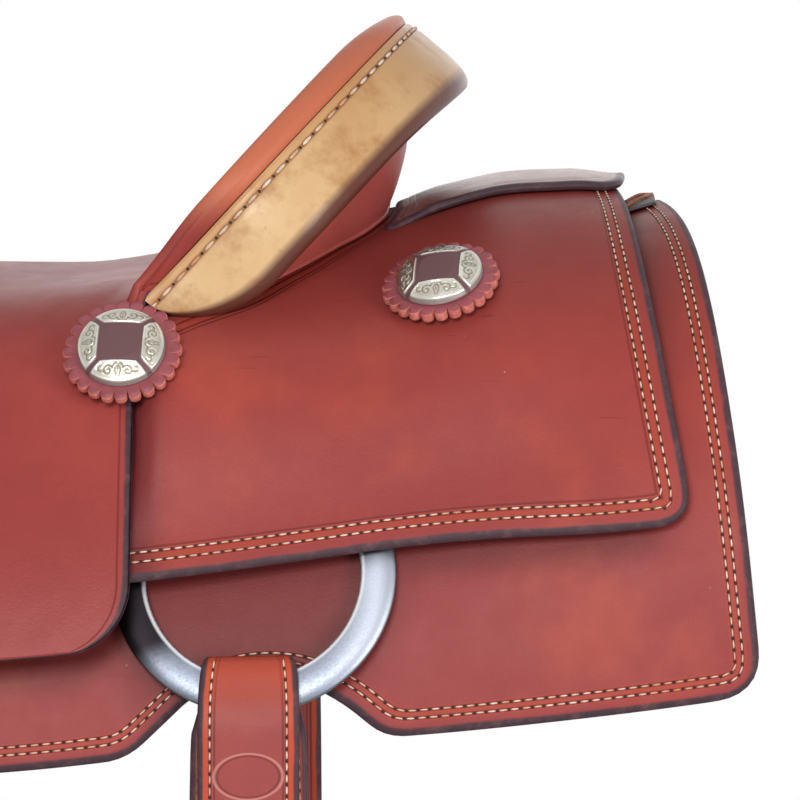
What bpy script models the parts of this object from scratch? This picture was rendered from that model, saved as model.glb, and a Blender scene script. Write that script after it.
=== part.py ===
"""A western roping saddle, built piece by piece on its tree.

Every leather piece that lies on the horse is cut flat and then draped over one reference surface, the
outer face of the skirts. A place on that surface is (x, s): x along the horse towards the tail, and s
the distance measured over the leather from the spine line down the side. Sizes are in millimetres and
become metres when a mesh is made. +Z is up, and the near (left) side of the horse is at -Y.
The origin is on the horse's spine line, under the lowest point of the seat.
"""

import math

import bmesh
import bpy
from mathutils import Vector

MM = 0.001

# the reference surface: the skirts' outer face
RIDGE_LOW = 33.0          # height of the spine line at its lowest point
RIDGE_LOW_X = -60.0
RIDGE_REAR_RISE = 56.0    # rise over REAR_RUN towards the loin
REAR_RUN = 310.0
RIDGE_FRONT_RISE = 30.0   # rise over FRONT_RUN towards the withers
FRONT_RUN = 340.0
SLOPE_TOP = 6.0           # degrees, at the spine line
SLOPE_GAIN = 80.0         # degrees more, far down the side
SLOPE_LENGTH = 170.0
GRID_X = 90.0             # the fold lines of the draped pieces, along the horse
GRID_S = 20.0             # and down its side

# leather and tree
LEATHER = 4.5
SKIVED = 1.8              # seat leather where it rolls over the cantle's rim
SKIRT_THICK = 6.0
FLEECE_TOP, FLEECE_BOTTOM = -7.6, -18.0
BAR_THICK = 24.0
BAR_EDGE_THICK = 19.0
GAP = 0.4

# skirt: rear edge, lower edge and the notch for the ring, as (x, s)
SKIRT_REAR_TOP = (256.0, 6.0)
SKIRT_FRONT_X = -421.0
SKIRT_LOW_S = 284.0
CHANNEL_S = 42.0

# where the jockeys tuck under the seat
TUCK_REAR = 33.0          # the jockeys run under the seat as far as this
TUCK_FRONT = -262.0

# seat
FLAP_REAR_X = 29.0
FLAP_LOW_S = 242.0
FLAP_CORNER = 24.0
FLAP_OFFSET = 24.5
DISH_START_X = 40.0
RIM_COLUMN_S = 118.0      # the seat's line that meets the low end of the cantle

# cantle
RIM_LOW = (31.7, 146.0, 49.0)
RIM_TOP = (142.0, 168.0)
RIM_POWER = 2 / 2.3
RIM_LIP = 4.5
ROLL_DIRECTION = (26.0, -22.5)
ROLL_WIDTH = 37.0
ROLL_THICK = 9.0
BINDING_THICK = 1.7

# rings and rigging
RING_OUTER, RING_INNER, RING_THICK = 59.2, 44.5, 5.0
RING_TOP_S, RING_BOTTOM_S = 157.0, 278.0
RING_STAND_OFF = 12.0     # middle plane of the ring above its chord
REAR_RING_X, FRONT_RING_X = 79.4, -311.0
BILLET_WIDTH = 42.0
BILLET_LENGTH = 480.0
STRAP_THICK = 3.6

# stirrup gear
HANG_X = -125.0
HANG_S = 185.0
HANG_STRAIGHT = 105.0
HANG_CURVE = 220.0
LEATHER_WIDTH = 64.0
BOLT_DROP = 474.0
STIRRUP_HEIGHT = 148.0
STIRRUP_WIDTH = 140.0

# fork and horn
FORK_X = -325.0
FORK_TOP_Z = 168.0
HORN_LEAN = 0.12
HORN_CAP_RADIUS = 43.0
COVER_THICK = 4.0
COVER_REACH = 0.35        # how far the cover goes down the fork's last facet

# silver
CONCHO_RADIUS, CONCHO_HEIGHT = 19.0, 7.0
ROSETTE_RADIUS, ROSETTE_THICK, ROSETTE_SCALLOPS = 25.0, 4.0, 18
ROSETTE_LIFT = {1: 5.2, 2: 2.8}   # of its flat back over the curved leather

LEATHER_RED = (0.33, 0.085, 0.065)


def clear_scene():
    for thing in list(bpy.data.objects):
        bpy.data.objects.remove(thing, do_unlink=True)


def material(name, colour, roughness, metallic=0.0):
    found = bpy.data.materials.get(name)
    if found:
        return found
    made = bpy.data.materials.new(name)
    made.use_nodes = True
    shader = made.node_tree.nodes["Principled BSDF"]
    shader.inputs["Base Color"].default_value = (*colour, 1.0)
    shader.inputs["Roughness"].default_value = roughness
    shader.inputs["Metallic"].default_value = metallic
    return made


def leather():
    return material("leather", LEATHER_RED, 0.45)


def steel():
    return material("steel", (0.55, 0.56, 0.58), 0.3, 1.0)


def wood():
    return material("tree_wood", (0.55, 0.42, 0.28), 0.7)


def finish(name, bm, mat, origin=(0, 0, 0), smooth_degrees=40):
    """Turn a bmesh in millimetres into a named object whose origin is at the given point."""
    bmesh.ops.recalc_face_normals(bm, faces=bm.faces)
    at = Vector(origin)
    for vert in bm.verts:
        vert.co = (vert.co - at) * MM
    mesh = bpy.data.meshes.new(name)
    bm.to_mesh(mesh)
    bm.free()
    mesh.materials.append(mat)
    mesh.shade_smooth()
    mesh.set_sharp_from_angle(angle=math.radians(smooth_degrees))
    thing = bpy.data.objects.new(name, mesh)
    thing.location = at * MM
    bpy.context.scene.collection.objects.link(thing)
    return thing


def smoothstep(low, high, value):
    t = min(max((value - low) / (high - low), 0.0), 1.0)
    return t * t * (3 - 2 * t)


def curve(knots):
    """A smooth function through (x, value) knots, without overshoot between them."""
    xs = [k[0] for k in knots]
    ys = [k[1] for k in knots]
    slopes = [(b - a) / (d - c) for a, b, c, d in zip(ys, ys[1:], xs, xs[1:])]
    ends = [slopes[0]]
    for left, right in zip(slopes, slopes[1:]):
        ends.append(0.0 if left * right <= 0 else 2 * left * right / (left + right))
    ends.append(slopes[-1])

    def value(x):
        if x <= xs[0]:
            return ys[0]
        if x >= xs[-1]:
            return ys[-1]
        i = max(j for j in range(len(xs) - 1) if xs[j] <= x)
        run = xs[i + 1] - xs[i]
        t = (x - xs[i]) / run
        return (
            (1 + 2 * t) * (1 - t) ** 2 * ys[i]
            + t * (1 - t) ** 2 * run * ends[i]
            + t * t * (3 - 2 * t) * ys[i + 1]
            + t * t * (t - 1) * run * ends[i + 1]
        )

    return value


# The reference surface


def slope(s):
    return math.radians(SLOPE_TOP + SLOPE_GAIN * (1 - math.exp(-((s / SLOPE_LENGTH) ** 2))))


def section_rows():
    """Across and down distances at each fold line, from the slope of the side."""
    rows = [(0.0, 0.0)]
    across = down = 0.0
    for step in range(int(20 * GRID_S)):
        angle = slope(step + 0.5)
        across += math.cos(angle)
        down += math.sin(angle)
        if (step + 1) % int(GRID_S) == 0:
            rows.append((across, down))
    return rows


SECTION = section_rows()


def exact_ridge(x):
    run, rise = (REAR_RUN, RIDGE_REAR_RISE) if x > RIDGE_LOW_X else (FRONT_RUN, RIDGE_FRONT_RISE)
    return RIDGE_LOW + rise * (abs(x - RIDGE_LOW_X) / run) ** 1.6


def ridge(x):
    """Height of the spine line, straight between fold lines so that layers stay parallel."""
    low = math.floor(x / GRID_X) * GRID_X
    t = (x - low) / GRID_X
    return (1 - t) * exact_ridge(low) + t * exact_ridge(low + GRID_X)


def place(x, s, offset=0.0):
    """The point at (x, s), offset outwards. Negative s is the near side, at -Y."""
    side = -1.0 if s < 0 else 1.0
    row = min(int(abs(s) / GRID_S), len(SECTION) - 2)
    t = abs(s) / GRID_S - row
    low, high = slope(row * GRID_S), slope((row + 1) * GRID_S)
    if row == 0:
        low = 0.0
    across = (1 - t) * SECTION[row][0] + t * SECTION[row + 1][0]
    down = (1 - t) * SECTION[row][1] + t * SECTION[row + 1][1]
    out_y = (1 - t) * math.sin(low) + t * math.sin(high)
    out_z = (1 - t) * math.cos(low) + t * math.cos(high)
    return Vector((x, side * (across + offset * out_y), ridge(x) - down + offset * out_z))


def arc(centre, radius, start, end, count=5):
    """Points on an arc, angles in degrees."""
    steps = [start + (end - start) * i / (count - 1) for i in range(count)]
    return [
        (centre[0] + radius * math.cos(math.radians(a)), centre[1] + radius * math.sin(math.radians(a)))
        for a in steps
    ]


def drape(name, outline, lower, upper, side, mat, at=place, step=(GRID_X, GRID_S), shrink=0.0, cuts=()):
    """Cut a flat outline along the fold lines and drape it as a closed sheet of leather.

    lower and upper give the two faces' offsets at (x, s). shrink draws the upper face's edge in.
    """
    flat = bmesh.new()
    flat.faces.new([flat.verts.new((x, s, 0)) for x, s in outline])
    for axis, pitch in enumerate(step):
        values = [v.co[axis] for v in flat.verts]
        first, last = math.ceil(min(values) / pitch), math.floor(max(values) / pitch)
        lines = [k * pitch for k in range(first, last + 1)]
        if axis == 0:
            lines += list(cuts)
        for line in lines:
            point, normal = [0, 0, 0], [0, 0, 0]
            point[axis], normal[axis] = line, 1
            every = flat.verts[:] + flat.edges[:] + flat.faces[:]
            bmesh.ops.bisect_plane(flat, geom=every, dist=0.01, plane_co=point, plane_no=normal)
    middle = sum((v.co for v in flat.verts), Vector()) / len(flat.verts)
    flat.verts.index_update()
    solid = bmesh.new()
    under, over = [], []
    for vert in flat.verts:
        x, s = vert.co.x, vert.co.y
        under.append(solid.verts.new(at(x, side * s, lower(x, s))))
        x2, s2 = x + (middle.x - x) * shrink * 0.3, s + (middle.y - s) * shrink
        over.append(solid.verts.new(at(x2, side * s2, upper(x2, s2))))
    for face in flat.faces:
        loop = [v.index for v in face.verts]
        solid.faces.new([under[i] for i in reversed(loop)])
        solid.faces.new([over[i] for i in loop])
    for edge in flat.edges:
        if edge.is_boundary:
            a, b = edge.verts[0].index, edge.verts[1].index
            solid.faces.new([under[a], under[b], over[b], over[a]])
    flat.free()
    bmesh.ops.triangulate(solid, faces=solid.faces)
    return finish(name, solid, mat)


def loft(name, rings, mat, closed=False, origin=(0, 0, 0)):
    """Join rings of points that all have the same count; the ends are capped unless closed."""
    bm = bmesh.new()
    made = [[bm.verts.new(p) for p in ring] for ring in rings]
    count = len(made[0])
    pairs = list(zip(made, made[1:])) + ([(made[-1], made[0])] if closed else [])
    for first, second in pairs:
        for i in range(count):
            j = (i + 1) % count
            bm.faces.new([first[i], first[j], second[j], second[i]])
    if not closed:
        bm.faces.new(list(reversed(made[0])))
        bm.faces.new(made[-1])
    bmesh.ops.triangulate(bm, faces=bm.faces, quad_method="FIXED")
    return finish(name, bm, mat, origin)


def turned(name, profile, centre, axis, mat, segments=32, origin=None):
    """Turn a closed profile of (radius, height) about an axis."""
    up = Vector(axis).normalized()
    across = up.orthogonal().normalized()
    along = up.cross(across)
    bm = bmesh.new()
    rows = []
    for radius, height in profile:
        middle = Vector(centre) + up * height
        if radius < 1e-6:
            rows.append([bm.verts.new(middle)])
            continue
        ring = []
        for i in range(segments):
            a = 2 * math.pi * i / segments
            ring.append(bm.verts.new(middle + radius * (math.cos(a) * across + math.sin(a) * along)))
        rows.append(ring)
    for first, second in zip(rows, rows[1:] + rows[:1]):
        if len(first) == 1 and len(second) == 1:
            continue
        for i in range(segments):
            j = (i + 1) % segments
            if len(first) == 1:
                bm.faces.new([first[0], second[j], second[i]])
            elif len(second) == 1:
                bm.faces.new([first[i], first[j], second[0]])
            else:
                bm.faces.new([first[i], first[j], second[j], second[i]])
    return finish(name, bm, mat, origin or centre)


def thickened(path, thick):
    """The two edges of a band of the given thickness along a path in a plane."""
    left, right = [], []
    for i, point in enumerate(path):
        before = path[max(i - 1, 0)]
        after = path[min(i + 1, len(path) - 1)]
        one = Vector((point[0] - before[0], point[1] - before[1]))
        two = Vector((after[0] - point[0], after[1] - point[1]))
        one = one.normalized() if one.length > 1e-9 else two.normalized()
        two = two.normalized() if two.length > 1e-9 else one
        middle = (one + two).normalized()
        stretch = thick / 2 / max(middle.dot(one), 0.5)
        normal = Vector((-middle.y, middle.x)) * stretch
        left.append((point[0] + normal.x, point[1] + normal.y))
        right.append((point[0] - normal.x, point[1] - normal.y))
    return left, right


def ribbon(name, path, thick, to_space, mat, origin=(0, 0, 0), closed=False):
    """A band of leather or wood. Each path point is (a, b, low, high): a place and the band's edges."""
    flat = [(p[0], p[1]) for p in path]
    if closed:
        left, right = thickened([flat[-1]] + flat + [flat[0]], thick)
        left, right = left[1:-1], right[1:-1]
    else:
        left, right = thickened(flat, thick)
    rings = []
    for inner, outer, point in zip(left, right, path):
        low, high = point[2], point[3]
        corners = ((inner, low), (inner, high), (outer, high), (outer, low))
        rings.append([to_space(*place_, width) for place_, width in corners])
    return loft(name, rings, mat, closed, origin)


# The tree


SEAT_HEIGHT = curve(
    [(-268, 124), (-235, 104), (-200, 89), (-150, 75), (-100, 66), (-50, 62.6), (0, 62), (28, 65), (45, 69)]
)


def seat_offset(x, s):
    """How far the seat's outer face stands off the reference surface."""
    s = abs(s)
    centre = SEAT_HEIGHT(x) - exact_ridge(x) - FLAP_OFFSET
    width = 45 if s < 110 else 42
    bulge = 8 + 7 * smoothstep(-90, 25, x)
    over_leathers = 5 * math.exp(-(((x - HANG_X) / 65) ** 2)) * smoothstep(120, 160, s)
    return (
        FLAP_OFFSET
        + centre * math.exp(-((s / 75) ** 2))
        + bulge * math.exp(-(((s - 110) / width) ** 2))
        + over_leathers * (1 - 0.5 * smoothstep(215, 242, s))
    )


JOCKEY_HIGH = curve(
    [(0, 41), (30, 39), (90, 31.5), (136, 26.5), (175, 26.5), (215, 19.5), (238, 11.5), (262, 9)]
)
JOCKEY_LOW = curve([(10, 19), (80, 15.5), (140, 13), (200, 11), (262, 9)])


def jockey_offset(x, s):
    """The back jockey's outer face: high over the bar, lower past the bar's edge."""
    blend = smoothstep(130, 205, abs(s))
    free = JOCKEY_HIGH(x) * (1 - blend) + JOCKEY_LOW(x) * blend
    return min(free, under_seat(x, s)) if x < TUCK_REAR else free


def under_seat(x, s):
    """The highest that a jockey's outer face may lie where the seat covers it."""
    return seat_offset(x, s) - LEATHER - 1.4


def front_jockey_offset(x, s):
    blend = smoothstep(135, 205, abs(s))
    free = 30.5 * (1 - blend) + 16.5 * blend
    return min(free, under_seat(x, s)) if x > TUCK_FRONT else free


GROOVE = (-163.0, -87.0)   # where the stirrup leather passes round the bar
GROOVE_TOP = 12.0
BAR_STEP_X = 22.0


def in_groove(x):
    return GROOVE[0] < x < GROOVE[1]


def bar_lower(x, s):
    return 5.4 if in_groove(x) else GAP


BAR_TOP = curve([(0, BAR_THICK), (80, BAR_THICK), (100, BAR_EDGE_THICK), (120, BAR_EDGE_THICK), (140, 13.0)])


def bar_upper(x, s):
    if in_groove(x):
        return GROOVE_TOP
    top = BAR_TOP(s)
    if x < 60:
        top = min(top, seat_offset(x, s) - 13.6)
    if x > BAR_STEP_X - 1:
        top = min(top, BAR_EDGE_THICK, jockey_offset(x, s) - LEATHER - 2.5)
    return max(top, 6.0)


def tree_bar(name, side):
    outline = (
        [(-398, 78), (-386, 62), (-300, 57), (-250, 48), (-120, 46), (60, 46), (205, 46), (219, 58)]
        + [(221, 104), (196, 134), (140, 148), (40, 146), (-40, 140), (-80, 136)]
        + [(-170, 136), (-220, 146), (-300, 152), (-378, 148), (-397, 122)]
    )
    cuts = (GROOVE[0] - 3, GROOVE[0] + 0.5, GROOVE[1] - 0.5, GROOVE[1] + 3, BAR_STEP_X)
    return drape(name, outline, bar_lower, bar_upper, side, wood(), shrink=0.03, cuts=cuts)


FORK_STATIONS = [
    # share of the arch, across, up, half thickness, half length, middle x, angle
    (0.0, 0.0, 148.0, 20.0, 44.0, -325.0, 90.0),
    (0.2, 38.0, 145.0, 22.0, 43.0, -325.0, 78.0),
    (0.4, 80.0, 131.0, 30.0, 42.0, -324.0, 55.0),
    (0.6, 110.0, 104.0, 42.0, 42.0, -322.0, 20.0),
    (0.8, 103.0, 74.0, 26.0, 46.0, -323.0, 2.0),
    (1.0, 106.0, 53.0, 22.0, 54.0, -326.0, -34.0),
]


FORK_COUNT, FORK_SEGMENTS = 15, 12


def fork_ring(share, grow, segments):
    """One rounded section of the fork's arch; share runs from -1 at the left foot to 1 at the right."""
    side = -1.0 if share < 0 else 1.0
    across, up, thick, length, middle, angle = (
        curve([(k[0], k[i]) for k in FORK_STATIONS])(abs(share)) for i in range(1, 7)
    )
    turn = math.radians(angle)
    ring = []
    for i in range(segments):
        a = 2 * math.pi * i / segments
        along = math.copysign(abs(math.cos(a)) ** 0.75, math.cos(a)) * (length + grow)
        out = math.copysign(abs(math.sin(a)) ** 0.75, math.sin(a)) * (thick + grow)
        seat = smoothstep(0.7, 1.0, abs(share)) * (exact_ridge(middle + along) - exact_ridge(middle))
        y = side * (across + out * math.cos(turn))
        ring.append(Vector((middle + along, y, up + out * math.sin(turn) + seat)))
    return ring


def fork_shares(count):
    return [-1 + 2 * i / (count - 1) for i in range(count)]


def bore(target, centre, axis, radius, length):
    """Cut a round hole through an object."""
    bm = bmesh.new()
    bmesh.ops.create_cone(bm, cap_ends=True, segments=24, radius1=radius, radius2=radius, depth=length)
    turn = Vector((0, 0, 1)).rotation_difference(Vector(axis)).to_matrix().to_4x4()
    bmesh.ops.transform(bm, matrix=turn, verts=bm.verts)
    bmesh.ops.translate(bm, vec=Vector(centre), verts=bm.verts)
    cutter = finish(target.name + "_cutter_" + str(len(target.modifiers)), bm, steel())
    cutter.hide_render = True
    cutter.display_type = "WIRE"
    cut = target.modifiers.new("bore", "BOOLEAN")
    cut.operation = "DIFFERENCE"
    cut.object = cutter


HORN_AXIS = Vector((-HORN_LEAN, 0, 1)).normalized()
HORN_FOOT = Vector((FORK_X, 0, FORK_TOP_Z))


def tree_fork():
    shares = fork_shares(FORK_COUNT)
    fork = loft("tree_fork", [fork_ring(s, 0.0, FORK_SEGMENTS) for s in shares], wood())
    bore(fork, HORN_FOOT - HORN_AXIS * 5, HORN_AXIS, 12.2, 44)


def fork_skin(depth):
    """The fork's rings moved outwards, square to its surface; the end rings stop above its feet."""
    rings = [fork_ring(s, 0.0, FORK_SEGMENTS) for s in fork_shares(FORK_COUNT)]
    rings[0] = [b.lerp(a, COVER_REACH) for a, b in zip(rings[0], rings[1])]
    rings[-1] = [b.lerp(a, COVER_REACH) for a, b in zip(rings[-1], rings[-2])]
    moved = []
    for r, ring in enumerate(rings):
        before, after = rings[max(r - 1, 0)], rings[min(r + 1, len(rings) - 1)]
        centre = sum(ring, Vector()) / len(ring)
        line = []
        for i, point in enumerate(ring):
            around = ring[(i + 1) % len(ring)] - ring[i - 1]
            normal = around.cross(after[i] - before[i]).normalized()
            if normal.dot(point - centre) < 0:
                normal = -normal
            line.append(point + normal * depth)
        moved.append(line)
    return moved


def fork_cover():
    """Leather drawn over the fork: an open-ended skin with a hole for the horn."""
    bm = bmesh.new()
    depths = (GAP + COVER_THICK, 3 * GAP)
    walls = [[[bm.verts.new(p) for p in ring] for ring in fork_skin(depth)] for depth in depths]
    for i in range(FORK_SEGMENTS):
        j = (i + 1) % FORK_SEGMENTS
        for wall in walls:
            for first, second in zip(wall, wall[1:]):
                bm.faces.new([first[i], first[j], second[j], second[i]])
        for end in (0, -1):
            bm.faces.new([walls[0][end][i], walls[0][end][j], walls[1][end][j], walls[1][end][i]])
    bmesh.ops.triangulate(bm, faces=bm.faces, quad_method="FIXED")
    cover = finish("fork_cover", bm, leather())
    bore(cover, HORN_FOOT + HORN_AXIS * 4, HORN_AXIS, 14.0, 24)


def horn():
    profile = [(0, -24), (11.7, -24), (11.7, 5.5), (17, 8), (15.5, 30), (15.5, 46), (19, 56), (30, 63)]
    profile += [(38, 65), (38.6, 68), (38, 71), (0, 72)]
    turned("horn", profile, HORN_FOOT, HORN_AXIS, steel(), 16)


def horn_wrap():
    """Rubber wound round the neck, with a rib for each turn."""
    inner = [(20.0, 55.0), (16.1, 46), (16.1, 30), (17.8, 8.6)]
    outer = [(25.5, 9.4)]
    turns, rise = 4, 11.2
    for i in range(turns):
        base = 10.0 + i * rise
        outer += [(28.0, base + 2), (28.0, base + rise - 3), (26.4, base + rise - 1)]
    outer += [(27.0, 56.0)]
    turned("horn_wrap", outer + inner, HORN_FOOT, HORN_AXIS, material("rubber", (0.03, 0.03, 0.03), 0.7), 16)


def horn_cap():
    """Leather cap over the horn's head, stitched round its edge and open for the neck."""
    r = HORN_CAP_RADIUS
    profile = [(0, 76.0), (r * 0.6, 75.6), (r * 0.9, 74.2), (r, 71), (r, 65), (r * 0.93, 62.2), (31, 60.4)]
    profile += [(31, 62.6), (38.4, 64.5), (39.1, 68), (38.4, 71.5), (0, 72.5)]
    turned("horn_cap", profile, HORN_FOOT, HORN_AXIS, leather(), 20)


# The seat and the cantle


def rim_slope():
    return math.atan2(RIM_TOP[1] - RIM_LOW[2], RIM_TOP[0] - RIM_LOW[0])


def rim(share):
    """The cantle's rim: 0 at the top centre, 1 at the low end, negative on the near side."""
    side = -1.0 if share < 0 else 1.0
    a = math.pi / 2 * min(abs(share), 1.0)
    length = math.hypot(RIM_TOP[1] - RIM_LOW[2], RIM_TOP[0] - RIM_LOW[0])
    across = RIM_LOW[1] * math.sin(a) ** RIM_POWER * (1 - 0.09 * smoothstep(0.72, 1.0, abs(share)))
    along = length * max(math.cos(a), 0.0) ** RIM_POWER
    tilt = rim_slope()
    return Vector((RIM_LOW[0] + along * math.cos(tilt), side * across, RIM_LOW[2] + along * math.sin(tilt)))


def roll_direction():
    return Vector((ROLL_DIRECTION[0], 0, ROLL_DIRECTION[1])).normalized()


def rim_normal(share):
    """Up and out of the rim, square to the roll and to the rim's own line."""
    ahead = rim(min(share + 0.01, 0.999)) - rim(max(share - 0.01, -0.999))
    normal = ahead.cross(roll_direction()).normalized()
    outwards = Vector((0, rim(share).y, 60))
    return normal if normal.dot(outwards) > 0 else -normal


def hermite(p0, t0, p1, t1, t):
    near = p0 * (1 + 2 * t) * (1 - t) ** 2 + t0 * t * (1 - t) ** 2
    return near + p1 * t * t * (3 - 2 * t) + t1 * t * t * (t - 1)


FLAP_FRONT = curve([(0, -268), (90, -268), (140, -262), (165, -250), (200, -222), (225, -196), (242, -165)])


def flap_rear(s):
    into = max(s - (FLAP_LOW_S - FLAP_CORNER), 0.0)
    return FLAP_REAR_X - FLAP_CORNER + math.sqrt(max(FLAP_CORNER**2 - into**2, 0.0))


def rim_lip(near_rim, along):
    """The soft ridge that the leather makes where it rolls over the rim; along is 1 to 2 up the dish."""
    height = RIM_LIP * (0.25 + 0.75 * smoothstep(0.0, 0.35, near_rim))
    height *= 1 - 0.6 * smoothstep(0.82, 1.0, near_rim)
    return height * smoothstep(1.55, 2.4, along) * (1 - smoothstep(2.55, 3.0, along))


def seat_point(s, row, front_rows, dish_rows, roll_rows):
    """A point of the seat's outer face on the line s, from the fork back to the cantle's rim."""
    size = abs(s)
    near_rim = min(size / RIM_COLUMN_S, 1.0)
    dish_x = 4 + (DISH_START_X - 4) * (1 - near_rim**2)
    if size > RIM_COLUMN_S:
        dish_x = flap_rear(size) - (FLAP_REAR_X - 4)
    if row <= front_rows:
        x = FLAP_FRONT(size) + (dish_x - FLAP_FRONT(size)) * row / front_rows
        return place_smooth(x, s, seat_offset(x, size))
    t = (row - front_rows) / (dish_rows + roll_rows)
    if size > RIM_COLUMN_S:
        x = dish_x + (flap_rear(size) - dish_x) * t
        return place_smooth(x, s, seat_offset(x, size))
    start = place_smooth(dish_x, s, seat_offset(dish_x, size))
    back = place_smooth(dish_x - 2, s, seat_offset(dish_x - 2, size))
    share = near_rim**0.9 * (1 if s >= 0 else -1)
    end = rim(share) + rim_normal(share) * 1.0 - roll_direction() * (2.4 + 1.8 * near_rim)
    inwards = Vector((-0.62, -math.copysign(min(near_rim, 1), s) * 0.75, -0.5)).normalized()
    knee = end + inwards * (18 - 13 * near_rim**2) + Vector((0, 0, -1.5))
    reach = (knee - start).length
    ahead = (start - back).normalized() * reach * 0.95
    rise = Vector((0.55 - 0.35 * near_rim, 0.6 * math.copysign(near_rim, s), 0.84 - 0.25 * near_rim))
    rise.normalize()
    steps = row - front_rows
    if steps <= dish_rows:
        point = hermite(start, ahead, knee, rise * reach * 0.9, steps / dish_rows)
        return point - roll_direction() * rim_lip(near_rim, 1 + steps / dish_rows)
    over = Vector((0.9, 0.15 * math.copysign(near_rim, s), -0.35))
    size_over = (end - knee).length
    t = (steps - dish_rows) / roll_rows
    point = hermite(knee, rise * size_over, end, over * size_over, t)
    return point - roll_direction() * rim_lip(near_rim, 2 + t)


def place_smooth(x, s, offset):
    """Like place, but on the smooth surface and not on its folds."""
    side = -1.0 if s < 0 else 1.0
    size = abs(s)
    row = min(int(size / GRID_S), len(SECTION) - 2)
    left = size - row * GRID_S
    middle = slope(row * GRID_S + left / 2)
    across = SECTION[row][0] + left * math.cos(middle)
    down = SECTION[row][1] + left * math.sin(middle)
    angle = slope(size) * smoothstep(0, 20, size)
    y = side * (across + offset * math.sin(angle))
    return Vector((x, y, exact_ridge(x) - down + offset * math.cos(angle)))


SEAT_FRONT_ROWS, SEAT_DISH_ROWS, SEAT_ROLL_ROWS = 7, 6, 3


def seat_grid(columns, last_row):
    rows = (SEAT_FRONT_ROWS, SEAT_DISH_ROWS, SEAT_ROLL_ROWS)
    return [[seat_point(s, r, *rows) for s in columns] for r in range(last_row + 1)]


def grid_normals(grid):
    normals = []
    for i, row in enumerate(grid):
        line = []
        for j in range(len(row)):
            along = grid[min(i + 1, len(grid) - 1)][j] - grid[max(i - 1, 0)][j]
            across = row[min(j + 1, len(row) - 1)] - row[max(j - 1, 0)]
            normal = along.cross(across).normalized()
            line.append(normal)
        normals.append(line)
    return normals


def shell(name, grid, outer, inner, mat):
    """A closed sheet between two depths inwards from a grid of points, one depth for each of its rows."""
    normals = grid_normals(grid)
    bm = bmesh.new()
    faces = []
    for depths in (outer, inner):
        face = []
        for row, outwards, deep in zip(grid, normals, depths):
            face.append([bm.verts.new(p - n * deep) for p, n in zip(row, outwards)])
        faces.append(face)
    last, width = len(grid) - 1, len(grid[0]) - 1
    for face in faces:
        for i in range(last):
            for j in range(width):
                bm.faces.new([face[i][j], face[i][j + 1], face[i + 1][j + 1], face[i + 1][j]])
    top, under = faces
    for i in range(last):
        for j in (0, width):
            bm.faces.new([top[i][j], top[i + 1][j], under[i + 1][j], under[i][j]])
    for j in range(width):
        for i in (0, last):
            bm.faces.new([top[i][j], top[i][j + 1], under[i][j + 1], under[i][j]])
    bmesh.ops.triangulate(bm, faces=bm.faces)
    return finish(name, bm, mat)


SEAT_COLUMNS = [0, 28, 54, 76, 95, 108, 118, 140, 180, 218, 234, 242]


def both_sides(columns):
    return [-s for s in reversed(columns) if s > 0] + list(columns)


def seat():
    """The seat leather: full thickness in the dish, skived thin where it rolls over the rim."""
    full = SEAT_FRONT_ROWS + SEAT_DISH_ROWS
    inner = [LEATHER] * (full - 1) + [(LEATHER + SKIVED) / 2] + [SKIVED] * (SEAT_ROLL_ROWS + 1)
    grid = seat_grid(both_sides(SEAT_COLUMNS), full + SEAT_ROLL_ROWS)
    shell("seat", grid, [0.0] * len(inner), inner, leather())


def ground_seat():
    columns = SEAT_COLUMNS[:5]
    grid = seat_grid(both_sides(columns), SEAT_FRONT_ROWS + 2)
    upper, lower = [LEATHER + 0.7] * len(grid), [LEATHER + 6.5] * len(grid)
    shell("ground_seat", grid, upper, lower, material("strainer", (0.42, 0.3, 0.2), 0.8))


CANTLE_SEAM = [(134, 0), (133, 30), (125, 55), (112, 72), (100, 85), (88, 95), (76, 104), (66, 110)]


def seam(share, offset, inset=0.0):
    """The line where the cantle's back meets the jockeys; share 0 at the centre, 1 at its end."""
    size = abs(share) * (len(CANTLE_SEAM) - 1)
    xs = curve([(i, k[0]) for i, k in enumerate(CANTLE_SEAM)])(size)
    ss = curve([(i, k[1]) for i, k in enumerate(CANTLE_SEAM)])(size)
    side = -1.0 if share < 0 else 1.0
    point = place_smooth(xs, side * ss, offset(xs, ss))
    inwards = Vector((-1.0, -side * 1.3 * abs(share), 0)).normalized()
    return point + inwards * inset


SIDE_END = 0.84


def cantle_top(share):
    """Where the cantle's back runs up under the roll."""
    at = share * SIDE_END
    return rim(at) + roll_direction() * 7.0 - rim_normal(at) * (ROLL_THICK + 1.2)


def cantle_surface(share, up, inset):
    base = seam(share, lambda x, s: jockey_offset(x, s) + 0.9, inset)
    top = cantle_top(share)
    side = -1.0 if share < 0 else 1.0
    inwards = Vector((-1.0, -side * 1.3 * abs(share), 0)).normalized()
    height = (top - base).length
    bow = inwards * (-6.5 * math.sin(math.pi * up**0.85) * smoothstep(27, 68, height))
    return base + (top + inwards * inset * 0.8 - base) * up + bow


def cantle_shares(count):
    return [-1 + 2 * i / (count - 1) for i in range(count)]


def cantle_solid(name, near, far, mat, low=0.0, count=15, rows=5):
    rings = []
    for share in cantle_shares(count):
        ups = [low + (1 - low) * i / (rows - 1) for i in range(rows)]
        outer = [cantle_surface(share, u, near) for u in ups]
        inner = [cantle_surface(share, u, far) for u in reversed(ups)]
        rings.append(outer + inner)
    return loft(name, rings, mat)


def cantle_back():
    cantle_solid("cantle_back", 0.0, 3.2, leather())


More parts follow.
